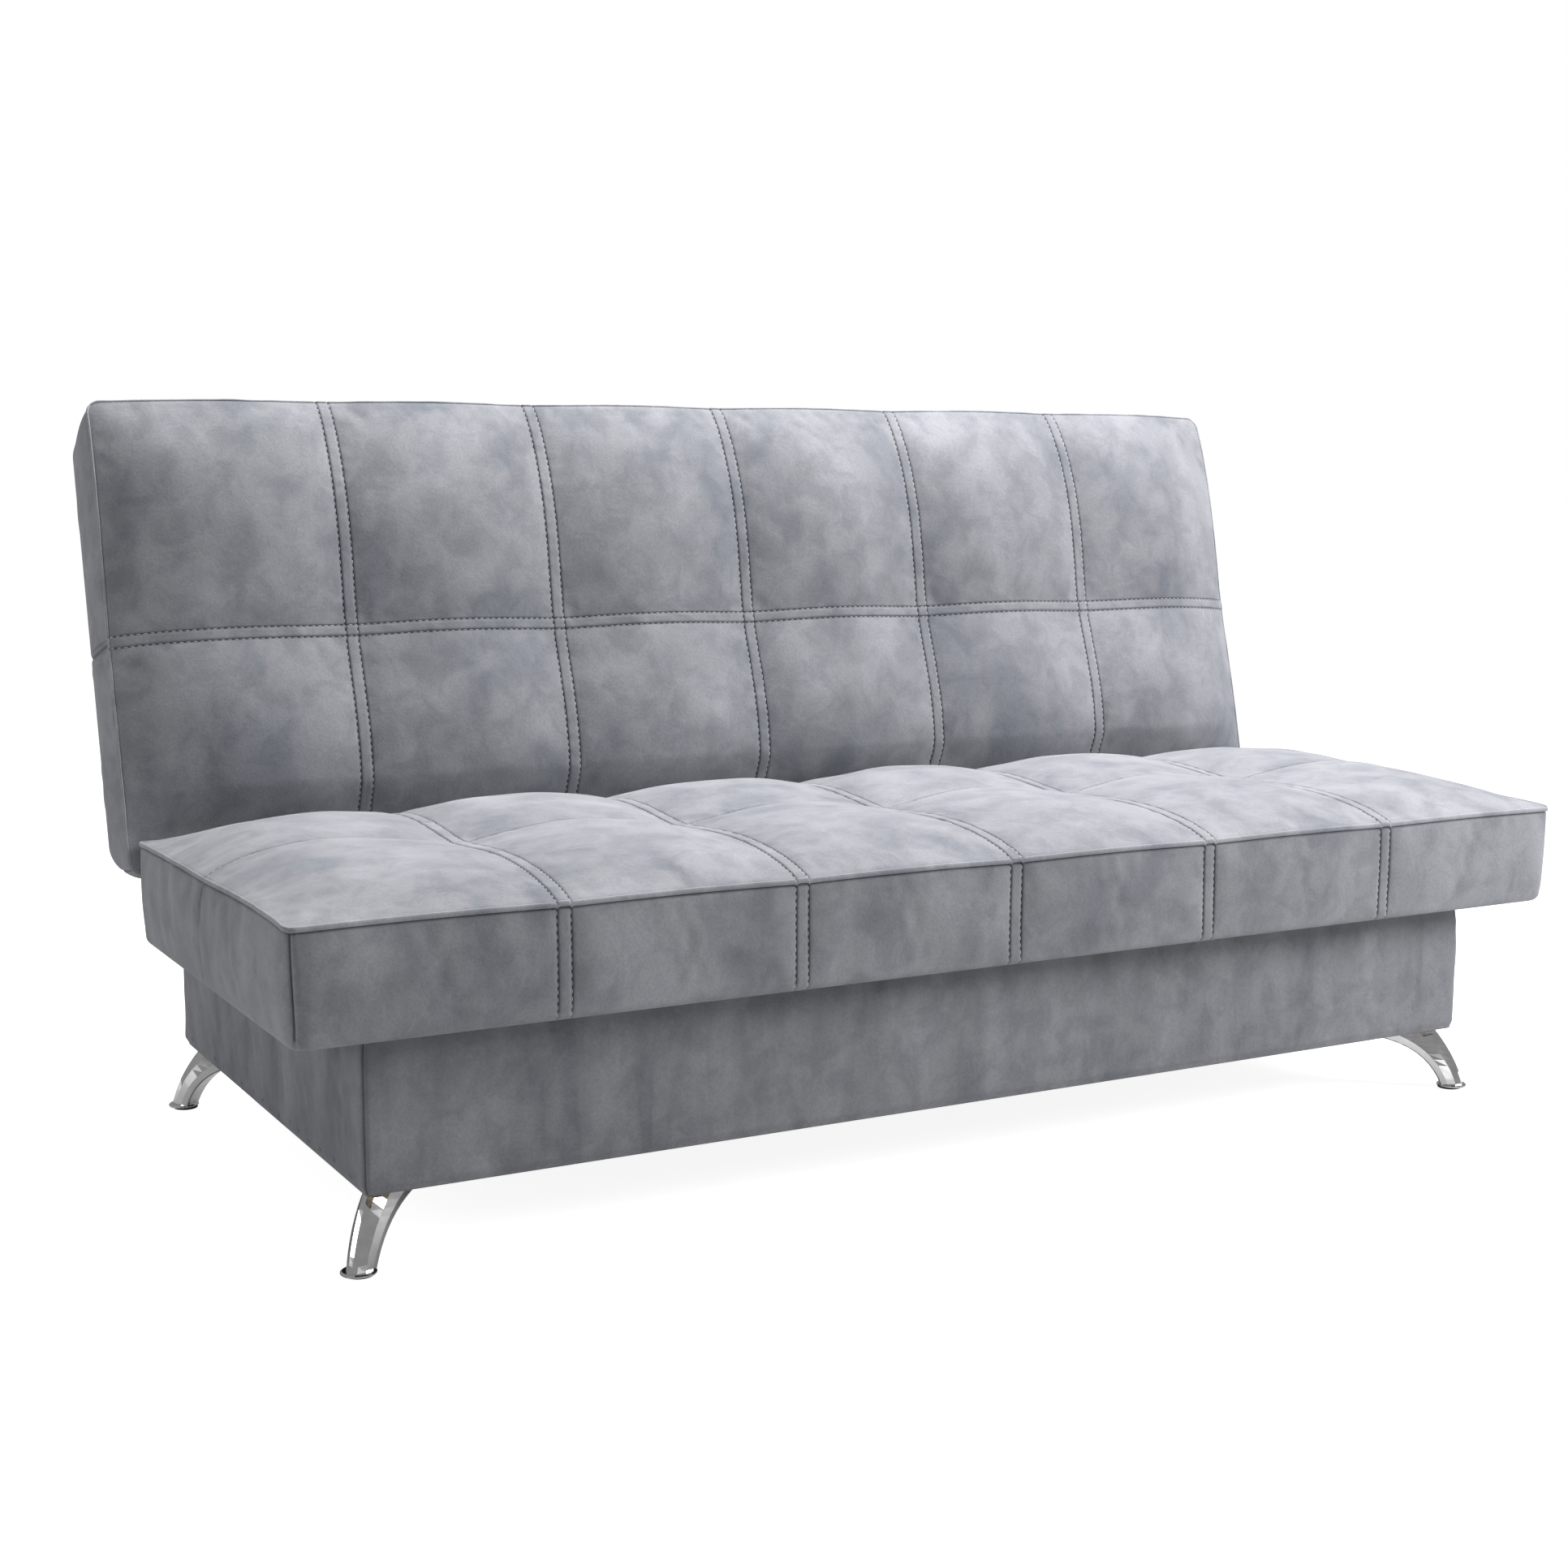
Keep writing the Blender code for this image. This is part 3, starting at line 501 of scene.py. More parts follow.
def simulate(shape):
    """Inflates the cover as cloth, held at its seams; returns how far face and border move."""
    x_spans, y_spans = shape.spans()
    x, y = coarse_lines(x_spans), coarse_lines(y_spans)
    shares = np.linspace(0, 1, SIM_ROWS + 1)
    grid = shape.face(x, y)
    square = shape.square(x, y)
    border, outward = shape.border(grid, square, shares)
    number = np.arange(len(x) * len(y)).reshape(len(x), len(y))
    ring = outline_of(number)
    points = list(grid.reshape(-1, 3))
    faces = grid_faces(len(x), len(y), number)
    border_number = [ring]
    for row in range(1, SIM_ROWS + 1):
        below = np.arange(len(points), len(points) + len(ring))
        points += list(border[:, row])
        faces += band_faces(border_number[-1], below)
        border_number.append(below)
    obj = mesh_object("cloth_" + shape.n["name"], points, faces, [])
    seams_x = {round(v, 7) for span in x_spans for v in span}
    seams_y = {round(v, 7) for span in y_spans for v in span}
    held = set(int(v) for v in ring) | set(int(v) for v in border_number[-1])
    for i, value in enumerate(x):
        if round(float(value), 7) in seams_x:
            held |= set(int(v) for v in number[i])
    for j, value in enumerate(y):
        if round(float(value), 7) in seams_y:
            held |= set(int(v) for v in number[:, j])
    for k, place in enumerate(square):
        on_long_side = min(abs(place[1] - shape.y_low), abs(place[1] - shape.y_high)) < 1e-6
        if on_long_side and round(float(place[0]), 7) in seams_x:
            held |= set(int(row[k]) for row in border_number)
    group = obj.vertex_groups.new(name="held")
    group.add(sorted(held), 1.0, "REPLACE")
    cloth = obj.modifiers.new("cloth", "CLOTH")
    settings = cloth.settings
    settings.quality = 6
    settings.mass = 0.3
    settings.tension_stiffness = 18
    settings.compression_stiffness = 12
    settings.shear_stiffness = 8
    settings.bending_stiffness = 1.2
    settings.air_damping = 2.0
    settings.shrink_min = SIM_SHRINK
    settings.use_pressure = True
    settings.uniform_pressure_force = SIM_PRESSURE
    settings.vertex_group_mass = "held"
    settings.effector_weights.gravity = 0.0
    scene = bpy.context.scene
    for step in range(1, SIM_FRAMES + 1):
        scene.frame_set(step)
    moved = obj.evaluated_get(bpy.context.evaluated_depsgraph_get()).data
    after = np.array([v.co for v in moved.vertices])
    travel = after - np.array(points)
    length = np.linalg.norm(travel, axis=1)
    travel *= np.minimum(1.0, SIM_CAP / np.maximum(length, 1e-9))[:, None]
    bpy.data.objects.remove(obj)
    scene.frame_set(1)
    face_travel = travel[: number.size].reshape(len(x), len(y), 3) * shape.ramp(y)[None, :, None]
    border_travel = np.stack([travel[row] for row in border_number], axis=1)
    border_travel *= (1 - shape.meets(outward))[..., None]
    return x, y, shares, face_travel, border_travel


def spread_ring(values, wx, wy, count_x, count_y):
    """Carries values on the coarse outline to the fine outline, side by side."""
    corners = [0, count_x - 1, count_x + count_y - 2, 2 * count_x + count_y - 3]
    closed = np.concatenate([values, values[:1]])
    ends = corners[1:] + [len(values)]
    parts = []
    for side, (start, end) in enumerate(zip(corners, ends)):
        own = closed[start:end + 1]
        matrix = (wx, wy, wx[::-1, ::-1], wy[::-1, ::-1])[side]
        parts.append(np.einsum("ij,j...->i...", matrix, own)[:-1])
    return np.concatenate(parts)


# ---- finished cushions

class Cushion:
    """A finished cushion: points, faces and the numbers of the points along its seams."""

    def __init__(self, numbers):
        shape = Shape(numbers)
        self.shape = shape
        self.x = fine_lines(shape.x_edges)
        self.y = fine_lines(shape.y_edges)
        middle, band = numbers["middle"], numbers["band_y"]
        if band:
            rows = list(self.y) + [middle - band, middle + band]
            self.y = np.array(sorted(set(np.round(rows, 7))))
        grid = shape.face(self.x, self.y)
        self.square = shape.square(self.x, self.y)
        self.number = np.arange(grid.shape[0] * grid.shape[1]).reshape(grid.shape[:2])
        self.shares = np.concatenate([NEAR_WELT, np.linspace(0.125, 1.0, 20)])
        border, outward = shape.border(grid, self.square, self.shares)
        x, y, shares, face_travel, border_travel = simulate(shape)
        x_spans, y_spans = shape.spans()
        wx, wy = spread(x_spans, x, self.x), spread(y_spans, y, self.y)
        grid = grid + np.einsum("ij,jkc,lk->ilc", wx, face_travel, wy)
        ring_travel = spread_ring(border_travel, wx, wy, len(x), len(y))
        down = spread([(0.0, 1.0)], shares, self.shares)
        border = border + np.einsum("pkc,sk->psc", ring_travel, down)
        grid[..., 2] += shape.seam_relief(self.x, self.y)
        border = self.border_relief(border, outward)
        ring = outline_of(self.number)
        border[:, 0] = grid.reshape(-1, 3)[ring]
        self.points = list(grid.reshape(-1, 3))
        self.faces = grid_faces(len(self.x), len(self.y), self.number)
        self.rows = [ring]
        self.outward = outward[:, 0]
        self.crease_shade = list(shape.crease_shade.reshape(-1))
        for row in range(1, len(self.shares)):
            self.add_row(border[:, row], self.border_crease_shade[:, row])
        self.add_under(border[:, -1])

    def border_relief(self, border, outward):
        """Seams that run down the borders, a soft unevenness of the fabric, and painted shade in their
        creases.
        """
        shape, n = self.shape, self.shape.n
        x, y = self.square[:, 0][:, None], self.square[:, 1][:, None]
        end = np.abs(x) > shape.half - 1e-6
        out = np.zeros(border.shape[:2])
        # Painted shade along the stitch rows, the side seam, under the welt and at the corner seams, for
        # the velour to darken.
        crease_shade = np.zeros(border.shape[:2])
        depth = self.shares[None, :]
        for seam in n["columns"]:
            s = np.abs(x - seam)
            out += np.where(end, 0.0, sewn_band(s, BAND, 0.9 * MM))
            crease_shade = np.maximum(crease_shade, np.where(end, 0.0, bell(s - BAND, 1.5 * MM)))
        s = np.abs(y - n["middle"] - shape.side_curve(y, depth))
        out += np.where(end, -1.9 * MM * bell(s, 3.2 * MM), 0.0)
        crease_shade = np.maximum(crease_shade, np.where(end, 0.8 * bell(s, 3.0 * MM), 0.0))
        under_welt = depth * (shape.z_welt - shape.z_low) - 6.4 * MM
        out += -1.7 * MM * bell(under_welt, 1.7 * MM)
        crease_shade = np.maximum(crease_shade, 0.9 * bell(under_welt, 1.9 * MM) + 0.0 * x)
        from_corner = (shape.half - np.abs(x)) + np.minimum(y - shape.y_low, shape.y_high - y)
        out += -1.7 * MM * bell(from_corner, 2.0 * MM)
        crease_shade = np.maximum(crease_shade, bell(from_corner, 1.6 * MM) + 0.0 * depth)
        quiet = smooth(depth / 0.12) * smooth((1 - depth) / 0.1)
        out += quiet * 0.8 * MM * shape.soft(x + 1.7 * y, border[..., 2] * 0.6)
        self.border_crease_shade = crease_shade
        return border + outward * out[..., None]

    def add_row(self, row, crease_shade=None):
        numbers = np.arange(len(self.points), len(self.points) + len(row))
        self.points += list(row)
        self.crease_shade += list(np.zeros(len(row)) if crease_shade is None else crease_shade)
        self.faces += band_faces(self.rows[-1], numbers)
        self.rows.append(numbers)

    def add_under(self, last):
        """Rounds under, runs to the lip's inner edge, and closes the body round the frame's space."""
        shape, n = self.shape, self.shape.n
        ends, sides, corner = n["end_radius"], n["under_radius"], n["low_corner"]
        radii = shape.under_radii(self.square)
        offset = last[:, :2] - shape.plan(self.square, corner)[0]
        count = len(radii)

        def ring(inset_x, inset_y, z, follow=0.0):
            rounding = max(corner - (inset_x + inset_y) / 2, 0.006)
            points, _ = shape.plan(self.square, rounding, (inset_x, inset_y))
            self.add_row(np.column_stack([points + offset * follow, z + np.zeros(count)]))

        for step in range(1, UNDER_STEPS + 1):
            angle = math.radians(90 * step / UNDER_STEPS)
            share = 1 - math.cos(angle)
            z = shape.z_low + radii * (1 - math.sin(angle))
            ring(ends * share, sides * share, z, math.cos(angle))
        lip_x, lip_y = max(LIP, ends + 0.004), max(LIP, sides + 0.004)
        for t in (0.33, 0.66, 1.0):
            ring(ends + (lip_x - ends) * t, sides + (lip_y - sides) * t, shape.z_low)
        deck_top = local_box(n["name"] + "_deck", n["matrix"])[1][2]
        inner_low = shape.z_low + SKIN
        ring(lip_x, lip_y, inner_low)
        ring(max(WALL, ends * 0.45), max(WALL, sides * 0.45), inner_low + radii * 0.25)
        ring(WALL, WALL, inner_low + radii * 0.45)
        ring(WALL, WALL, deck_top + 0.0003)
        self.faces.append(tuple(int(v) for v in self.rows[-1][::-1]))

    def build(self, materials):
        n = self.shape.n
        obj = mesh_object(n["name"] + "_cushion", self.points, self.faces, materials)
        normals = np.zeros(len(obj.data.vertices) * 3)
        obj.data.vertices.foreach_get("normal", normals)
        self.normals = normals.reshape(-1, 3)
        store_crease_shade(obj, self.crease_shade)
        obj.data.transform(n["matrix"])
        return obj

    def seam_numbers(self, ix):
        """Point numbers up one border, over the face and down the other, along one x line."""
        last = len(self.shares) + STITCHED_UNDER
        opposite = len(self.x) - 1 + len(self.y) - 1 + (len(self.x) - 1 - ix)
        path = [int(row[ix]) for row in self.rows[last:0:-1]]
        path += [int(v) for v in self.number[ix, :]]
        return path + [int(row[opposite]) for row in self.rows[1:last]]

    def seam_paths(self):
        """Point numbers under every row of stitches."""
        n = self.shape.n
        paths = []
        for seam in n["columns"]:
            for side in (-BAND, BAND):
                paths.append(self.seam_numbers(line_index(self.x, seam + side)))
        for offset in (-n["band_y"], n["band_y"]) if n["band_y"] else (0.0,):
            iy = line_index(self.y, n["middle"] + offset)
            paths.append([int(v) for v in self.number[:, iy]])
        return paths


def line_index(lines, value):
    return int(np.argmin(np.abs(lines - value)))


def stitches(name, cushion, materials):
    """Separate sewing stitches, each a short bent thread between two needle holes, drawn as small dark
    discs of painted shade.
    """
    points, faces, dark = [], [], []
    sides, rings = 6, 5
    for path in cushion.seam_paths():
        place = np.array([cushion.points[k] for k in path])
        normal = cushion.normals[path]
        length = np.concatenate([[0], np.cumsum(np.linalg.norm(np.diff(place, axis=0), axis=1))])
        total = length[-1]
        count = int(total / STITCH_PITCH)
        for k in range(count):
            start = (k + 0.5) * total / count - STITCH_LENGTH / 2
            at = start + STITCH_LENGTH * np.linspace(0, 1, rings)
            centre = np.stack([np.interp(at, length, place[:, c]) for c in range(3)], axis=-1)
            up = np.stack([np.interp(at, length, normal[:, c]) for c in range(3)], axis=-1)
            up /= np.linalg.norm(up, axis=1)[:, None]
            along = centre[-1] - centre[0]
            along /= np.linalg.norm(along)
            across = np.cross(up, along)
            lift = (np.array([-0.9, 0.25, 0.55, 0.25, -0.9]) * THREAD_RADIUS)[:, None]
            centre = centre + up * (lift + 0.0001)
            thick = np.array([0.45, 0.95, 1.0, 0.95, 0.45]) * THREAD_RADIUS
            first = len(points)
            for ring in range(rings):
                for side in range(sides):
                    angle = 2 * math.pi * side / sides
                    offset = across[ring] * math.cos(angle) + up[ring] * math.sin(angle)
                    points.append(centre[ring] + offset * thick[ring])
            for ring in range(rings - 1):
                for side in range(sides):
                    after = (side + 1) % sides
                    a, b = first + ring * sides, first + (ring + 1) * sides
                    faces.append((a + side, a + after, b + after, b + side))
            faces.append(tuple(first + side for side in range(sides))[::-1])
            faces.append(tuple(first + (rings - 1) * sides + side for side in range(sides)))
            # A needle hole: a small dark disc of painted shade between two stitches.
            middle = centre[-1] + along * (STITCH_PITCH - STITCH_LENGTH) / 2 - up[-1] * lift[-1]
            hole = len(points)
            for side in range(sides):
                angle = 2 * math.pi * side / sides
                rim = across[-1] * math.cos(angle) * HOLE[1] + along * math.sin(angle) * HOLE[0]
                points.append(middle + rim)
            points += [middle + up[-1] * HOLE[2], middle - up[-1] * HOLE[2]]
            for side in range(sides):
                after = (side + 1) % sides
                dark += [len(faces), len(faces) + 1]
                faces.append((hole + side, hole + sides, hole + after))
                faces.append((hole + side, hole + after, hole + sides + 1))
    obj = mesh_object(name, points, faces, materials)
    slots = np.zeros(len(faces), int)
    slots[dark] = 1
    obj.data.polygons.foreach_set("material_index", slots)
    obj.data.transform(cushion.shape.n["matrix"])
    return obj


def welt(name, cushion, material):
    """The flat folded seam round the face: a strip that stands against the border."""
    ring = cushion.rows[0]
    place = np.array([cushion.points[k] for k in ring])
    outward = cushion.outward
    width, thick = 0.0052, 0.0021
    section = [
        (-0.0006, 0.0006), (0.0006, 0.0015), (thick, 0.0008), (thick + 0.0003, -width * 0.5),
        (thick, -width + 0.0005), (0.0010, -width), (-0.0006, -width + 0.0004), (-0.0008, -width * 0.5),
    ]
    wave = waves(cushion.shape.n["seed"] + 7, 10, 0.03, 0.11)
    shift = 0.25 * MM * wave(place[:, 0], place[:, 1])
    points, faces = [], []
    for out, z in section:
        row = place + outward * (out + shift)[:, None]
        row[:, 2] += z
        points += list(row)
    count = len(ring)
    for k in range(len(section)):
        after = (k + 1) % len(section)
        for step in range(count):
            beyond = (step + 1) % count
            a, b = k * count, after * count
            faces.append((a + step, a + beyond, b + beyond, b + step))
    obj = mesh_object(name, points, [f[::-1] for f in faces], [material])
    obj.data.transform(cushion.shape.n["matrix"])
    return obj


# ---- materials

class Nodes:
    """Short names for building a material's node tree."""

    def __init__(self, name):
        self.material = bpy.data.materials.new(name)
        self.material.use_nodes = True
        self.tree = self.material.node_tree
        self.shader = self.tree.nodes["Principled BSDF"]
        self.coordinates = self.tree.nodes.new("ShaderNodeTexCoord").outputs["Object"]

    def link(self, output, node_input):
        self.tree.links.new(output, node_input)

    def node(self, kind, **values):
        """A new node with its inputs set by name; an underscore stands for a space."""
        node = self.tree.nodes.new(kind)
        for name, value in values.items():
            node.inputs[name.replace("_", " ")].default_value = value
        return node

    def mapping(self, scale, rotation=(0, 0, 0)):
        node = self.node("ShaderNodeMapping", Scale=scale, Rotation=rotation)
        self.link(self.coordinates, node.inputs["Vector"])
        return node.outputs["Vector"]

    def noise(self, scale, detail=3.0, roughness=0.5, distortion=0.0, vector=None):
        node = self.node(
            "ShaderNodeTexNoise", Scale=scale, Detail=detail, Roughness=roughness, Distortion=distortion,
        )
        self.link(vector or self.coordinates, node.inputs["Vector"])
        return node.outputs["Fac"]

    def ramp(self, factor, stops):
        node = self.tree.nodes.new("ShaderNodeValToRGB")
        node.color_ramp.interpolation = "EASE"
        elements = node.color_ramp.elements
        while len(elements) < len(stops):
            elements.new(0.5)
        for element, (place, colour) in zip(elements, stops):
            element.position = place
            element.color = (*colour, 1.0)
        self.link(factor, node.inputs["Fac"])
        return node.outputs["Color"]

    def mix(self, mode, factor, first, second):
        node = self.tree.nodes.new("ShaderNodeMix")
        node.data_type = "RGBA"
        node.blend_type = mode
        node.inputs["Factor"].default_value = factor
        self.link(first, node.inputs["A"])
        self.link(second, node.inputs["B"])
        return node.outputs["Result"]

    def bump(self, height, strength, distance, below=None):
        node = self.node("ShaderNodeBump", Strength=strength, Distance=distance)
        self.link(height, node.inputs["Height"])
        if below:
            self.link(below, node.inputs["Normal"])
        return node.outputs["Normal"]

    def between(self, factor, low, high):
        node = self.node("ShaderNodeMapRange", To_Min=low, To_Max=high)
        self.link(factor, node.inputs["Value"])
        return node.outputs["Result"]

    def set(self, **values):
        for name, value in values.items():
            self.shader.inputs[name.replace("_", " ")].default_value = value

    def into(self, output, name):
        self.link(output, self.shader.inputs[name])


COOL_TINT = (0.965, 0.980, 1.060)
DARK_TINT = (0.93, 0.98, 1.09)


def grey(value, tint=COOL_TINT):
    return tuple(value * t for t in tint)


def velour(name, base, nap=(9.0, 9.0, 5.0)):
    """Brushed pile: cloudy patches where the nap lies differently, a suede grain, and painted shade in
    creases and seams.
    """
    n = Nodes(name)
    clouds = n.noise(1.0, 3.0, 0.55, 0.25, n.mapping(nap, (0.3, 0.5, 0.2)))
    patches = n.ramp(clouds, [
        (0.33, grey(base * 0.78, DARK_TINT)), (0.47, grey(base * 0.94)), (0.58, grey(base * 1.03)),
        (0.72, grey(base * 1.15)),
    ])
    blots = n.noise(21.0, 3.0, 0.6, 0.5)
    strokes = n.ramp(blots, [(0.32, (0.41, 0.415, 0.425)), (0.62, (0.54, 0.54, 0.54))])
    grain = n.noise(300.0, 2.0, 0.6, 0.3)
    speckle = n.ramp(grain, [(0.3, (0.455, 0.455, 0.455)), (0.7, (0.545, 0.545, 0.545))])
    colour = n.mix("OVERLAY", 0.8, patches, strokes)
    colour = n.mix("OVERLAY", 0.7, colour, speckle)
    # Painted shade: darkens the colour where the mesh marks a crease, seam or recess.
    crease_shade = n.tree.nodes.new("ShaderNodeAttribute")
    crease_shade.attribute_name = "crease_shade"
    shade = n.ramp(crease_shade.outputs["Fac"], [(0.0, (1.0, 1.0, 1.0)), (0.9, (0.42, 0.42, 0.44))])
    n.into(n.mix("MULTIPLY", 1.0, colour, shade), "Base Color")
    n.into(n.between(clouds, 0.95, 0.78), "Roughness")
    n.set(Specular_IOR_Level=0.14, Sheen_Weight=0.30, Sheen_Roughness=0.45)
    n.shader.inputs["Sheen Tint"].default_value = (0.95, 0.95, 1.0, 1.0)
    pile = n.bump(n.noise(1500.0, 2.0, 0.6), 0.35, 0.0005)
    suede = n.bump(grain, 0.35, 0.0010, pile)
    n.into(n.bump(blots, 0.30, 0.0030, suede), "Normal")
    return n.material


def chrome():
    n = Nodes("chrome_look")
    haze = n.noise(60.0, 4.0, 0.6)
    n.into(n.ramp(haze, [(0.3, (0.80, 0.80, 0.81)), (0.7, (0.88, 0.88, 0.89))]), "Base Color")
    n.into(n.between(haze, 0.05, 0.13), "Roughness")
    n.set(Metallic=1.0)
    n.into(n.bump(n.noise(24.0, 2.0), 0.04, 0.0010), "Normal")
    return n.material


def painted_steel():
    """Powder-coated steel: a fine orange peel."""
    n = Nodes("steel_look")
    wear = n.noise(18.0, 4.0, 0.6)
    n.into(n.ramp(wear, [(0.35, (0.020, 0.020, 0.022)), (0.75, (0.030, 0.030, 0.033))]), "Base Color")
    n.into(n.between(wear, 0.357, 0.483), "Roughness")
    n.set(Metallic=0.0, Specular_IOR_Level=0.5)
    n.into(n.bump(n.noise(720.0, 2.0), 0.15, 0.0003), "Normal")
    return n.material


def zinc():
    n = Nodes("zinc_look")
    spangle = n.noise(140.0, 2.0, 0.5, 0.4)
    n.into(n.ramp(spangle, [(0.3, (0.46, 0.46, 0.44)), (0.7, (0.66, 0.66, 0.64))]), "Base Color")
    n.into(n.between(spangle, 0.28, 0.46), "Roughness")
    n.set(Metallic=1.0)
    return n.material


def chipboard(name, share):
    """Pressed wood chips; share darkens them, which gives the underside its painted shade."""
    n = Nodes(name)
    chips = n.noise(95.0, 5.0, 0.7, 1.2)
    tones = ((0.30, (0.24, 0.19, 0.13)), (0.50, (0.40, 0.33, 0.24)), (0.72, (0.58, 0.49, 0.37)))
    stops = [(place, tuple(share * c for c in tone)) for place, tone in tones]
    n.into(n.ramp(chips, stops), "Base Color")
    n.set(Roughness=0.8)
    n.into(n.bump(chips, 0.3, 0.0008), "Normal")
    return n.material


def woven(name, dark, light):
    """Thin non-woven lining."""
    n = Nodes(name)
    fibres = n.noise(1.0, 4.0, 0.7, 1.0, n.mapping((300, 700, 300)))
    n.into(n.ramp(fibres, [(0.3, dark), (0.7, light)]), "Base Color")
    n.set(Roughness=0.95, Sheen_Weight=0.1)
    n.into(n.bump(fibres, 0.3, 0.0004), "Normal")
    return n.material


def rubber():
    n = Nodes("rubber_look")
    dust = n.noise(120.0, 3.0)
    n.into(n.ramp(dust, [(0.3, (0.012, 0.012, 0.012)), (0.8, (0.035, 0.035, 0.036))]), "Base Color")
    n.into(n.between(dust, 0.6, 0.85), "Roughness")
    n.into(n.bump(dust, 0.2, 0.0003), "Normal")
    return n.material


def thread(name, dark, light):
    n = Nodes(name)
    twist = n.noise(1.0, 2.0, 0.5, 0.0, n.mapping((900, 900, 900), (0.6, 0.6, 0.6)))
    n.into(n.ramp(twist, [(0.3, grey(dark)), (0.7, grey(light))]), "Base Color")
    n.set(Roughness=0.6, Sheen_Weight=0.3)
    n.into(n.bump(twist, 0.4, 0.0003), "Normal")
    return n.material


# ---- box upholstery

def rectangle_ring(x_half, y_low, y_high, radius, step):
    """Evenly spaced points round a rounded rectangle, with outward directions, counter-clockwise."""
    points, outward = [], []
    corners = [
        (x_half - radius, y_low + radius, -90), (x_half - radius, y_high - radius, 0),
        (-x_half + radius, y_high - radius, 90), (-x_half + radius, y_low + radius, 180),
    ]
    for k, (cx, cy, first) in enumerate(corners):
        for s in range(9):
            angle = math.radians(first + 90 * s / 8)
            direction = (math.cos(angle), math.sin(angle))
            points.append((cx + radius * direction[0], cy + radius * direction[1]))
            outward.append(direction)
        nx, ny, after = corners[(k + 1) % 4]
        angle = math.radians(after)
        end = (nx + radius * math.cos(angle), ny + radius * math.sin(angle))
        start = points[-1]
        count = round(math.dist(start, end) / step)
        for s in range(1, count):
            points.append(tuple(a + (b - a) * s / count for a, b in zip(start, end)))
            outward.append(direction)
    return np.array(points), np.array(outward)


def box_upholstery(material):
    """The fabric round the bedding box: soft vertical folds, stapled along its lower edge, with painted
    shade in the corner seams and staple dimples.
    """
    side_low, side_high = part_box("box_left_cover")
    front_low, front_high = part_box("box_front_cover")
    rear_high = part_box("box_rear_cover")[1]
    half, y_low, y_high = -side_low.x, front_low.y, rear_high.y
    z_low, z_high = side_low.z, side_high.z
    plan, outward = rectangle_ring(half, y_low, y_high, 0.006, 0.0026)
    height = z_high - z_low
    shares = np.concatenate([
        [0, 0.02, 0.05], np.linspace(0.09, 0.80, 16), np.linspace(0.82, 0.965, 14), [0.98, 0.99, 1.0],
    ])
    swell = 3.4 * MM * np.clip(smooth(shares / 0.15) * smooth((1 - shares) / 0.07), 0, 1)
    swell = swell - 0.8 * MM * smooth((shares - 0.93) / 0.07)
    folds = waves(41, 12, 0.035, 0.12)
    along = plan[:, 0] + 1.3 * plan[:, 1]
    on_end = np.abs(outward[:, 0]) > 0.9
    rng = np.random.default_rng(5)
    dimple_y, place = [], y_low + 0.05
    while place < y_high - 0.03:
        dimple_y.append(place)
        place += rng.uniform(0.034, 0.062)
    points, rows, crease_shades = [], [], []
    slant = np.abs(outward[:, 0] * outward[:, 1]) > 0.1
    corner = bell(np.abs(outward[:, 0]) - np.abs(outward[:, 1]), 0.25) * slant
    for s, out in zip(shares, swell):
        z = z_high - height * s
        fold = folds(along + 0.12 * s, np.full(len(along), 0.05 * s))
        quiet = smooth(s / 0.1) * smooth((1 - s) / 0.06)
        rise = out + 0.9 * MM * fold * quiet * np.where(on_end, 1.0, 0.45)
        rise = rise - 1.6 * MM * corner
        # Painted shade in the corner seam and, below, in each staple dimple.
        crease_shade = 0.8 * corner
        for y in dimple_y:
            near = np.hypot(plan[:, 1] - y, z - (z_low + 0.013 + 0.003 * math.sin(37 * y)))
            rise = rise - np.where(on_end, 2.2 * MM * bell(near, 0.0030), 0.0)
            crease_shade = crease_shade + np.where(on_end, 0.9 * bell(near, 0.0024), 0.0)
        crease_shades += list(crease_shade)
        row = np.column_stack([plan + outward * rise[:, None], np.full(len(plan), z)])
        rows.append(len(points))
        points += list(row)
    for inset, z in ((0.0020, z_low + 0.0001), (0.0022, z_high - 0.0001)):
        row = np.column_stack([plan - outward * inset, np.full(len(plan), z)])
        rows.append(len(points))
        points += list(row)
    count, faces = len(plan), []
    order = rows + [rows[0]]
    for upper, lower in zip(order, order[1:]):
        faces += band_faces(range(upper, upper + count), range(lower, lower + count))
    obj = mesh_object("box_upholstery", points, faces, [material])
    store_crease_shade(obj, crease_shades)
    return obj


# ---- cloth behind the back and under the seat

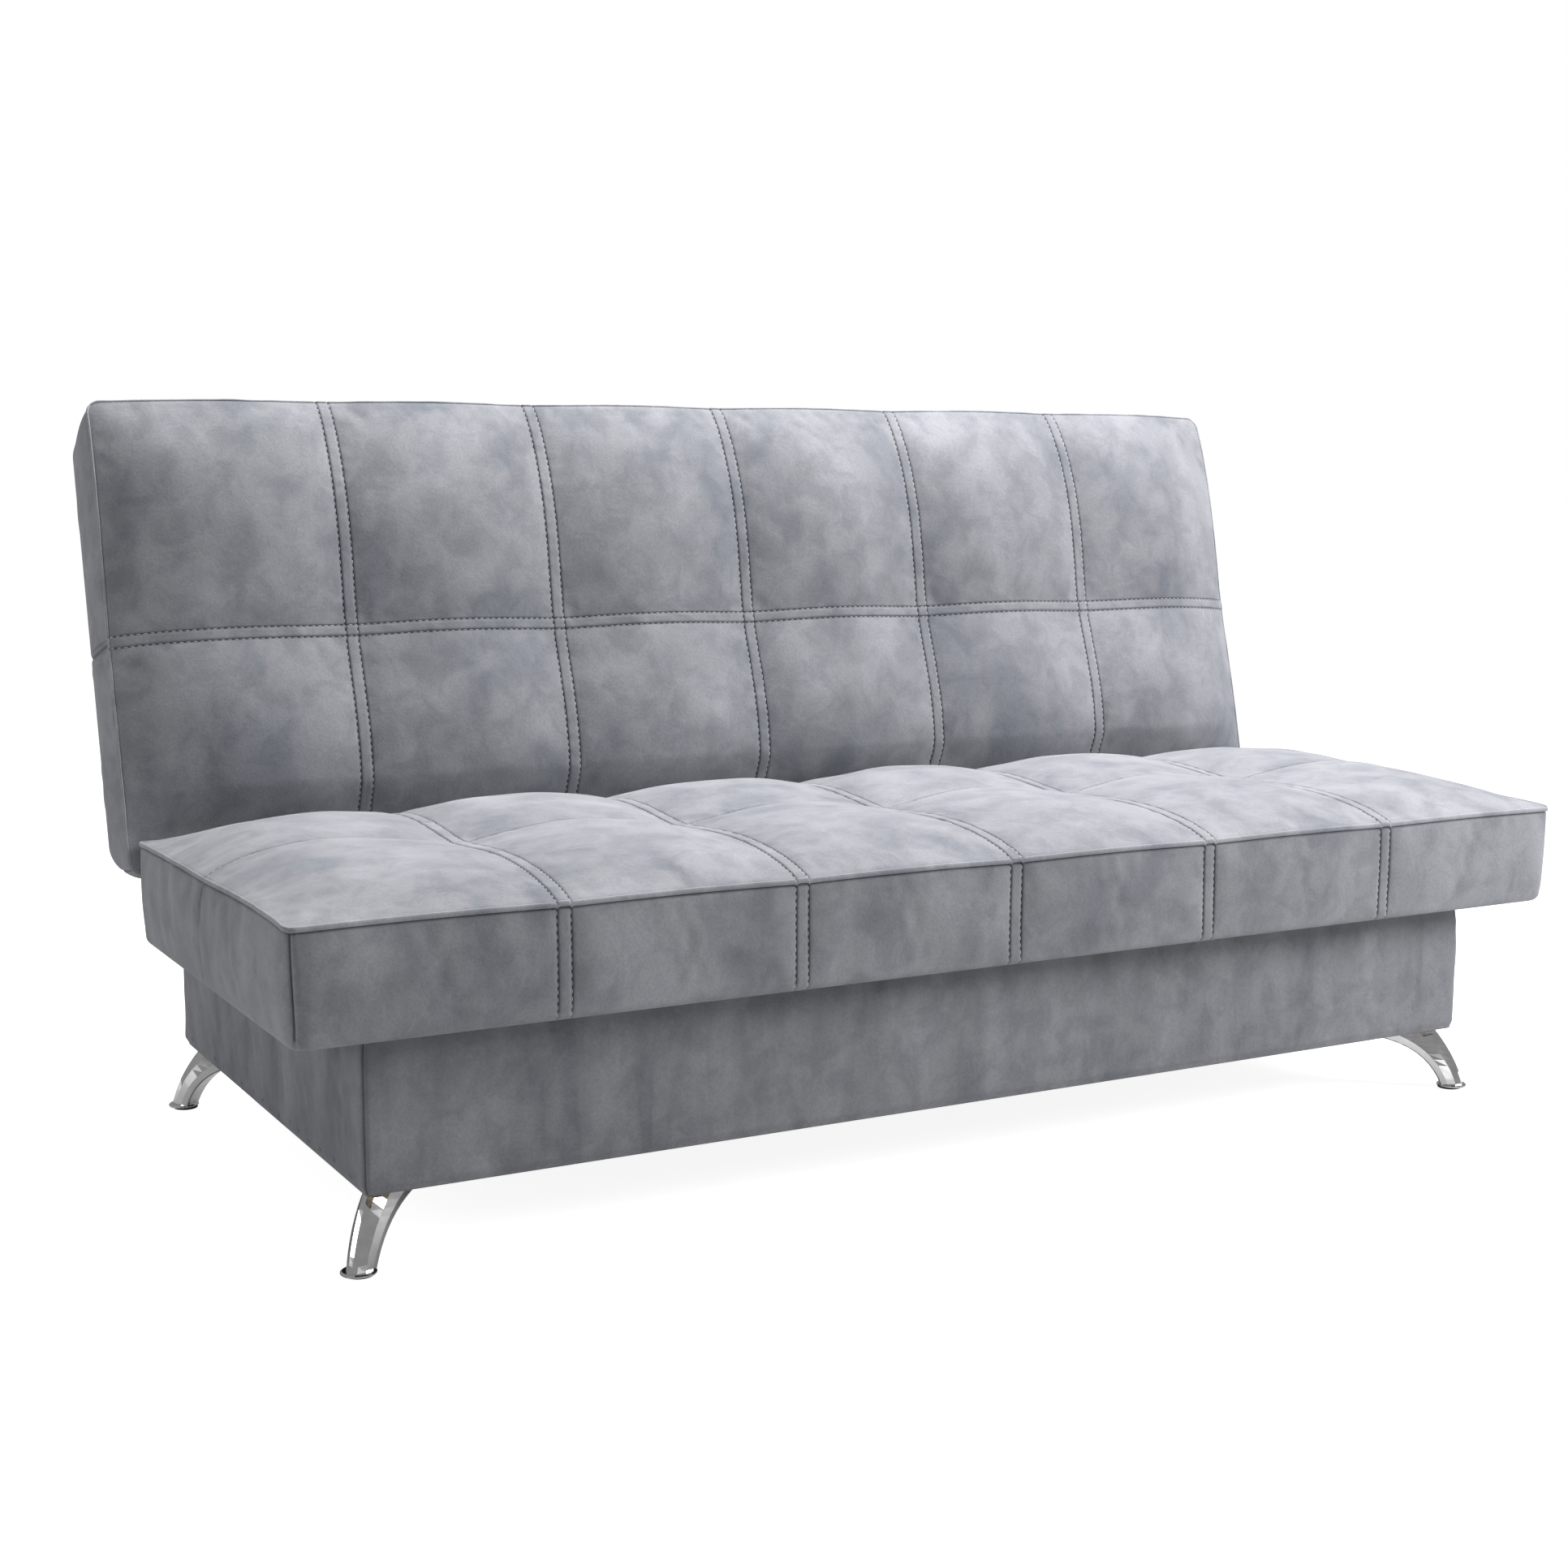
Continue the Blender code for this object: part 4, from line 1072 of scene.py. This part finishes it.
def cloth_panel(name, node, matrix, material, grow, proud, seed):
    """A thin cloth stretched over a frame's open side: taut, a little uneven, its hem folded."""
    low, high = local_box(node, matrix)
    x0, x1, y0, y1 = low[0] - grow, high[0] + grow, low[1] - grow, high[1] + grow
    z_top, z_out = float(high[2]), float(low[2]) - proud
    uneven = waves(seed, 12, 0.05, 0.30)
    nx, ny = 150, 60
    xs, ys = np.linspace(x0, x1, nx + 1), np.linspace(y0, y1, ny + 1)
    x2, y2 = np.meshgrid(xs, ys, indexing="ij")
    edge = np.minimum(np.minimum(x2 - x0, x1 - x2), np.minimum(y2 - y0, y1 - y2))
    face = -SHEET_BODY * smooth(edge / 0.012) + 0.0011 * bell(edge - 0.016, 0.0035)
    face = face + 0.5 * MM * uneven(x2, y2) * smooth(edge / 0.05)
    under = np.stack([x2, y2, z_out + np.maximum(face, -0.002) + SHEET_BODY], axis=-1)
    upper = np.stack([x2, y2, np.where(edge < grow, z_out + 0.0014, z_top)], axis=-1)
    number = np.arange(x2.size).reshape(x2.shape)
    other = number + x2.size
    faces = [f[::-1] for f in grid_faces(nx + 1, ny + 1, number)]
    faces += grid_faces(nx + 1, ny + 1, other) + band_faces(outline_of(other), outline_of(number))
    points = list(under.reshape(-1, 3)) + list(upper.reshape(-1, 3))
    obj = mesh_object(name, points, faces, [material])
    obj.data.transform(matrix)
    return obj


# ---- assembly

FABRIC = velour("velour_look", 0.215)
# A lighter copy of the velour for the welt: a painted highlight along the fold.
FABRIC_WELT_HIGHLIGHT = velour("velour_welt_highlight_look", 0.26)
FABRIC_SIDE = velour("velour_side_look", 0.20, (16.0, 16.0, 3.0))
THREAD = thread("thread_look", 0.30, 0.48)
# Near-black thread look for the needle holes: painted shade.
NEEDLE_HOLE_SHADE = thread("needle_hole_shade_look", 0.03, 0.06)
# The box's underside and corner blocks, darkened as painted shade.
UNDERSIDE_SHADE = chipboard("underside_shade_board_look", 0.10)
SLOT_LOOKS = {
    "velour": FABRIC,
    "foam": woven("foam_look", (0.62, 0.56, 0.34), (0.78, 0.72, 0.48)),
    "board": chipboard("board_look", 1.0),
    "black_cloth": woven("lining_look", (0.012, 0.012, 0.013), (0.04, 0.04, 0.042)),
    "chrome": chrome(),
    "steel": painted_steel(),
    "zinc": zinc(),
    "rubber": rubber(),
}


def dress_nodes():
    """Gives every CAD node the look of its slot in the record; the underside is darkened as painted
    shade, which the chrome legs also reflect.
    """
    for entry in frame["record"]["subparts"]:
        node = entry["node"]
        data = frame["nodes"][node].data
        data.materials.clear()
        under = node == "box_bottom_panel" or node.startswith("corner_block")
        data.materials.append(UNDERSIDE_SHADE if under else SLOT_LOOKS[entry["material_slot"]])


def dress_cushion(numbers, body):
    cushion = Cushion(numbers)
    obj = cushion.build([FABRIC])
    name = numbers["name"]
    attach(obj, body)
    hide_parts(name + "_cover", name + "_foam")
    rows = stitches(name + "_stitches", cushion, [THREAD, NEEDLE_HOLE_SHADE])
    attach(rows, body)
    strip = welt(name + "_welt", cushion, FABRIC_WELT_HIGHLIGHT)
    if name == "back":
        cut_slots(obj, BACK_SLOT, ARM_SLOT_X, numbers["matrix"])
        cut_slots(strip, BACK_SLOT, ARM_SLOT_X, numbers["matrix"])
    else:
        cut_slots(obj, SEAT_NOTCH, NOTCH_X, numbers["matrix"])
    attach(strip, body)


dress_nodes()
dress_cushion(SEAT, "seat")
dress_cushion(BACK, "back")

box = box_upholstery(FABRIC_SIDE)
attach(box, "base")
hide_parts("box_front_cover", "box_rear_cover", "box_left_cover", "box_right_cover")

rear = cloth_panel("back_rear_panel", "back_rear_cloth", BACK_MATRIX, FABRIC_SIDE, 0.007, 0.0022, 71)
cut_slots(rear, BACK_SLOT, ARM_SLOT_X, BACK_MATRIX)
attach(rear, "back")
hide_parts("back_rear_cloth")
lining = cloth_panel(
    "seat_lining", "seat_dust_cloth", SEAT_MATRIX, SLOT_LOOKS["black_cloth"], 0.010, 0.0016, 83,
)
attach(lining, "seat")
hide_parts("seat_dust_cloth")


# ---- stage, light and camera

CAMERA_PLACE = (-1.6315, -2.8587, 0.9122)
CAMERA_YAW = 0.5001             # turned from +Y towards +X
CAMERA_PITCH = 0.1341           # looking down
CAMERA_LENS = 52.10
FLOOR_HALF = 60.0
FLOOR_CELLS = 8
FLOOR_GLOW = 0.90               # seen by the camera only
WORLD_LIGHT = 0.26


def floor():
    lines = np.linspace(-FLOOR_HALF, FLOOR_HALF, FLOOR_CELLS + 1)
    points = [(x, y, -0.0002) for x in lines for y in lines]
    count = len(lines)
    number = np.arange(count ** 2).reshape(count, count)
    n = Nodes("floor_look")
    n.into(n.ramp(n.noise(3.0), [(0.3, (0.50, 0.50, 0.50)), (0.7, (0.52, 0.52, 0.52))]), "Base Color")
    n.set(Roughness=0.9, Specular_IOR_Level=0.1)
    n.shader.inputs["Emission Color"].default_value = (1.0, 1.0, 1.0, 1.0)
    seen = n.tree.nodes.new("ShaderNodeLightPath").outputs["Is Camera Ray"]
    n.into(n.between(seen, 0.0, FLOOR_GLOW), "Emission Strength")
    obj = mesh_object("floor", points, grid_faces(count, count, number), [n.material])


def area_light(name, place, target, size, power):
    data = bpy.data.lights.new(name, "AREA")
    data.shape = "RECTANGLE"
    data.size, data.size_y = size
    data.energy = power
    obj = bpy.data.objects.new(name, data)
    obj.location = place
    obj.rotation_euler = (Vector(target) - Vector(place)).to_track_quat("-Z", "Y").to_euler()
    bpy.context.scene.collection.objects.link(obj)


def world():
    """White to the eye, softer as a light."""
    studio = bpy.data.worlds.new("studio")
    bpy.context.scene.world = studio
    studio.use_nodes = True
    tree = studio.node_tree
    background = tree.nodes["Background"]
    seen = tree.nodes.new("ShaderNodeBackground")
    for node, strength in ((background, WORLD_LIGHT), (seen, 1.0)):
        node.inputs["Color"].default_value = (1, 1, 1, 1)
        node.inputs["Strength"].default_value = strength
    path = tree.nodes.new("ShaderNodeLightPath")
    mix = tree.nodes.new("ShaderNodeMixShader")
    tree.links.new(path.outputs["Is Camera Ray"], mix.inputs["Fac"])
    tree.links.new(background.outputs["Background"], mix.inputs[1])
    tree.links.new(seen.outputs["Background"], mix.inputs[2])
    tree.links.new(mix.outputs["Shader"], tree.nodes["World Output"].inputs["Surface"])


def camera():
    data = bpy.data.cameras.new("camera")
    data.lens = CAMERA_LENS
    data.sensor_width = 36.0
    data.clip_start, data.clip_end = 0.05, 150.0
    obj = bpy.data.objects.new("camera", data)
    obj.location = CAMERA_PLACE
    obj.rotation_euler = (math.pi / 2 - CAMERA_PITCH, 0.0, -CAMERA_YAW)
    bpy.context.scene.collection.objects.link(obj)
    bpy.context.scene.camera = obj


world()
floor()
area_light("key", (3.1, -2.3, 1.9), (0.6, 0.0, 0.4), (1.4, 1.4), 125)
area_light("top", (0.6, 0.15, 3.6), (0.1, -0.1, 0.4), (3.0, 1.4), 245)
area_light("left", (-3.6, 0.4, 1.3), (-0.9, 0.0, 0.3), (1.5, 1.5), 28)
area_light("right", (2.1, -1.7, 1.2), (0.9, -0.4, 0.4), (0.7, 0.7), 12)
camera()
bpy.context.scene.view_settings.view_transform = "Standard"
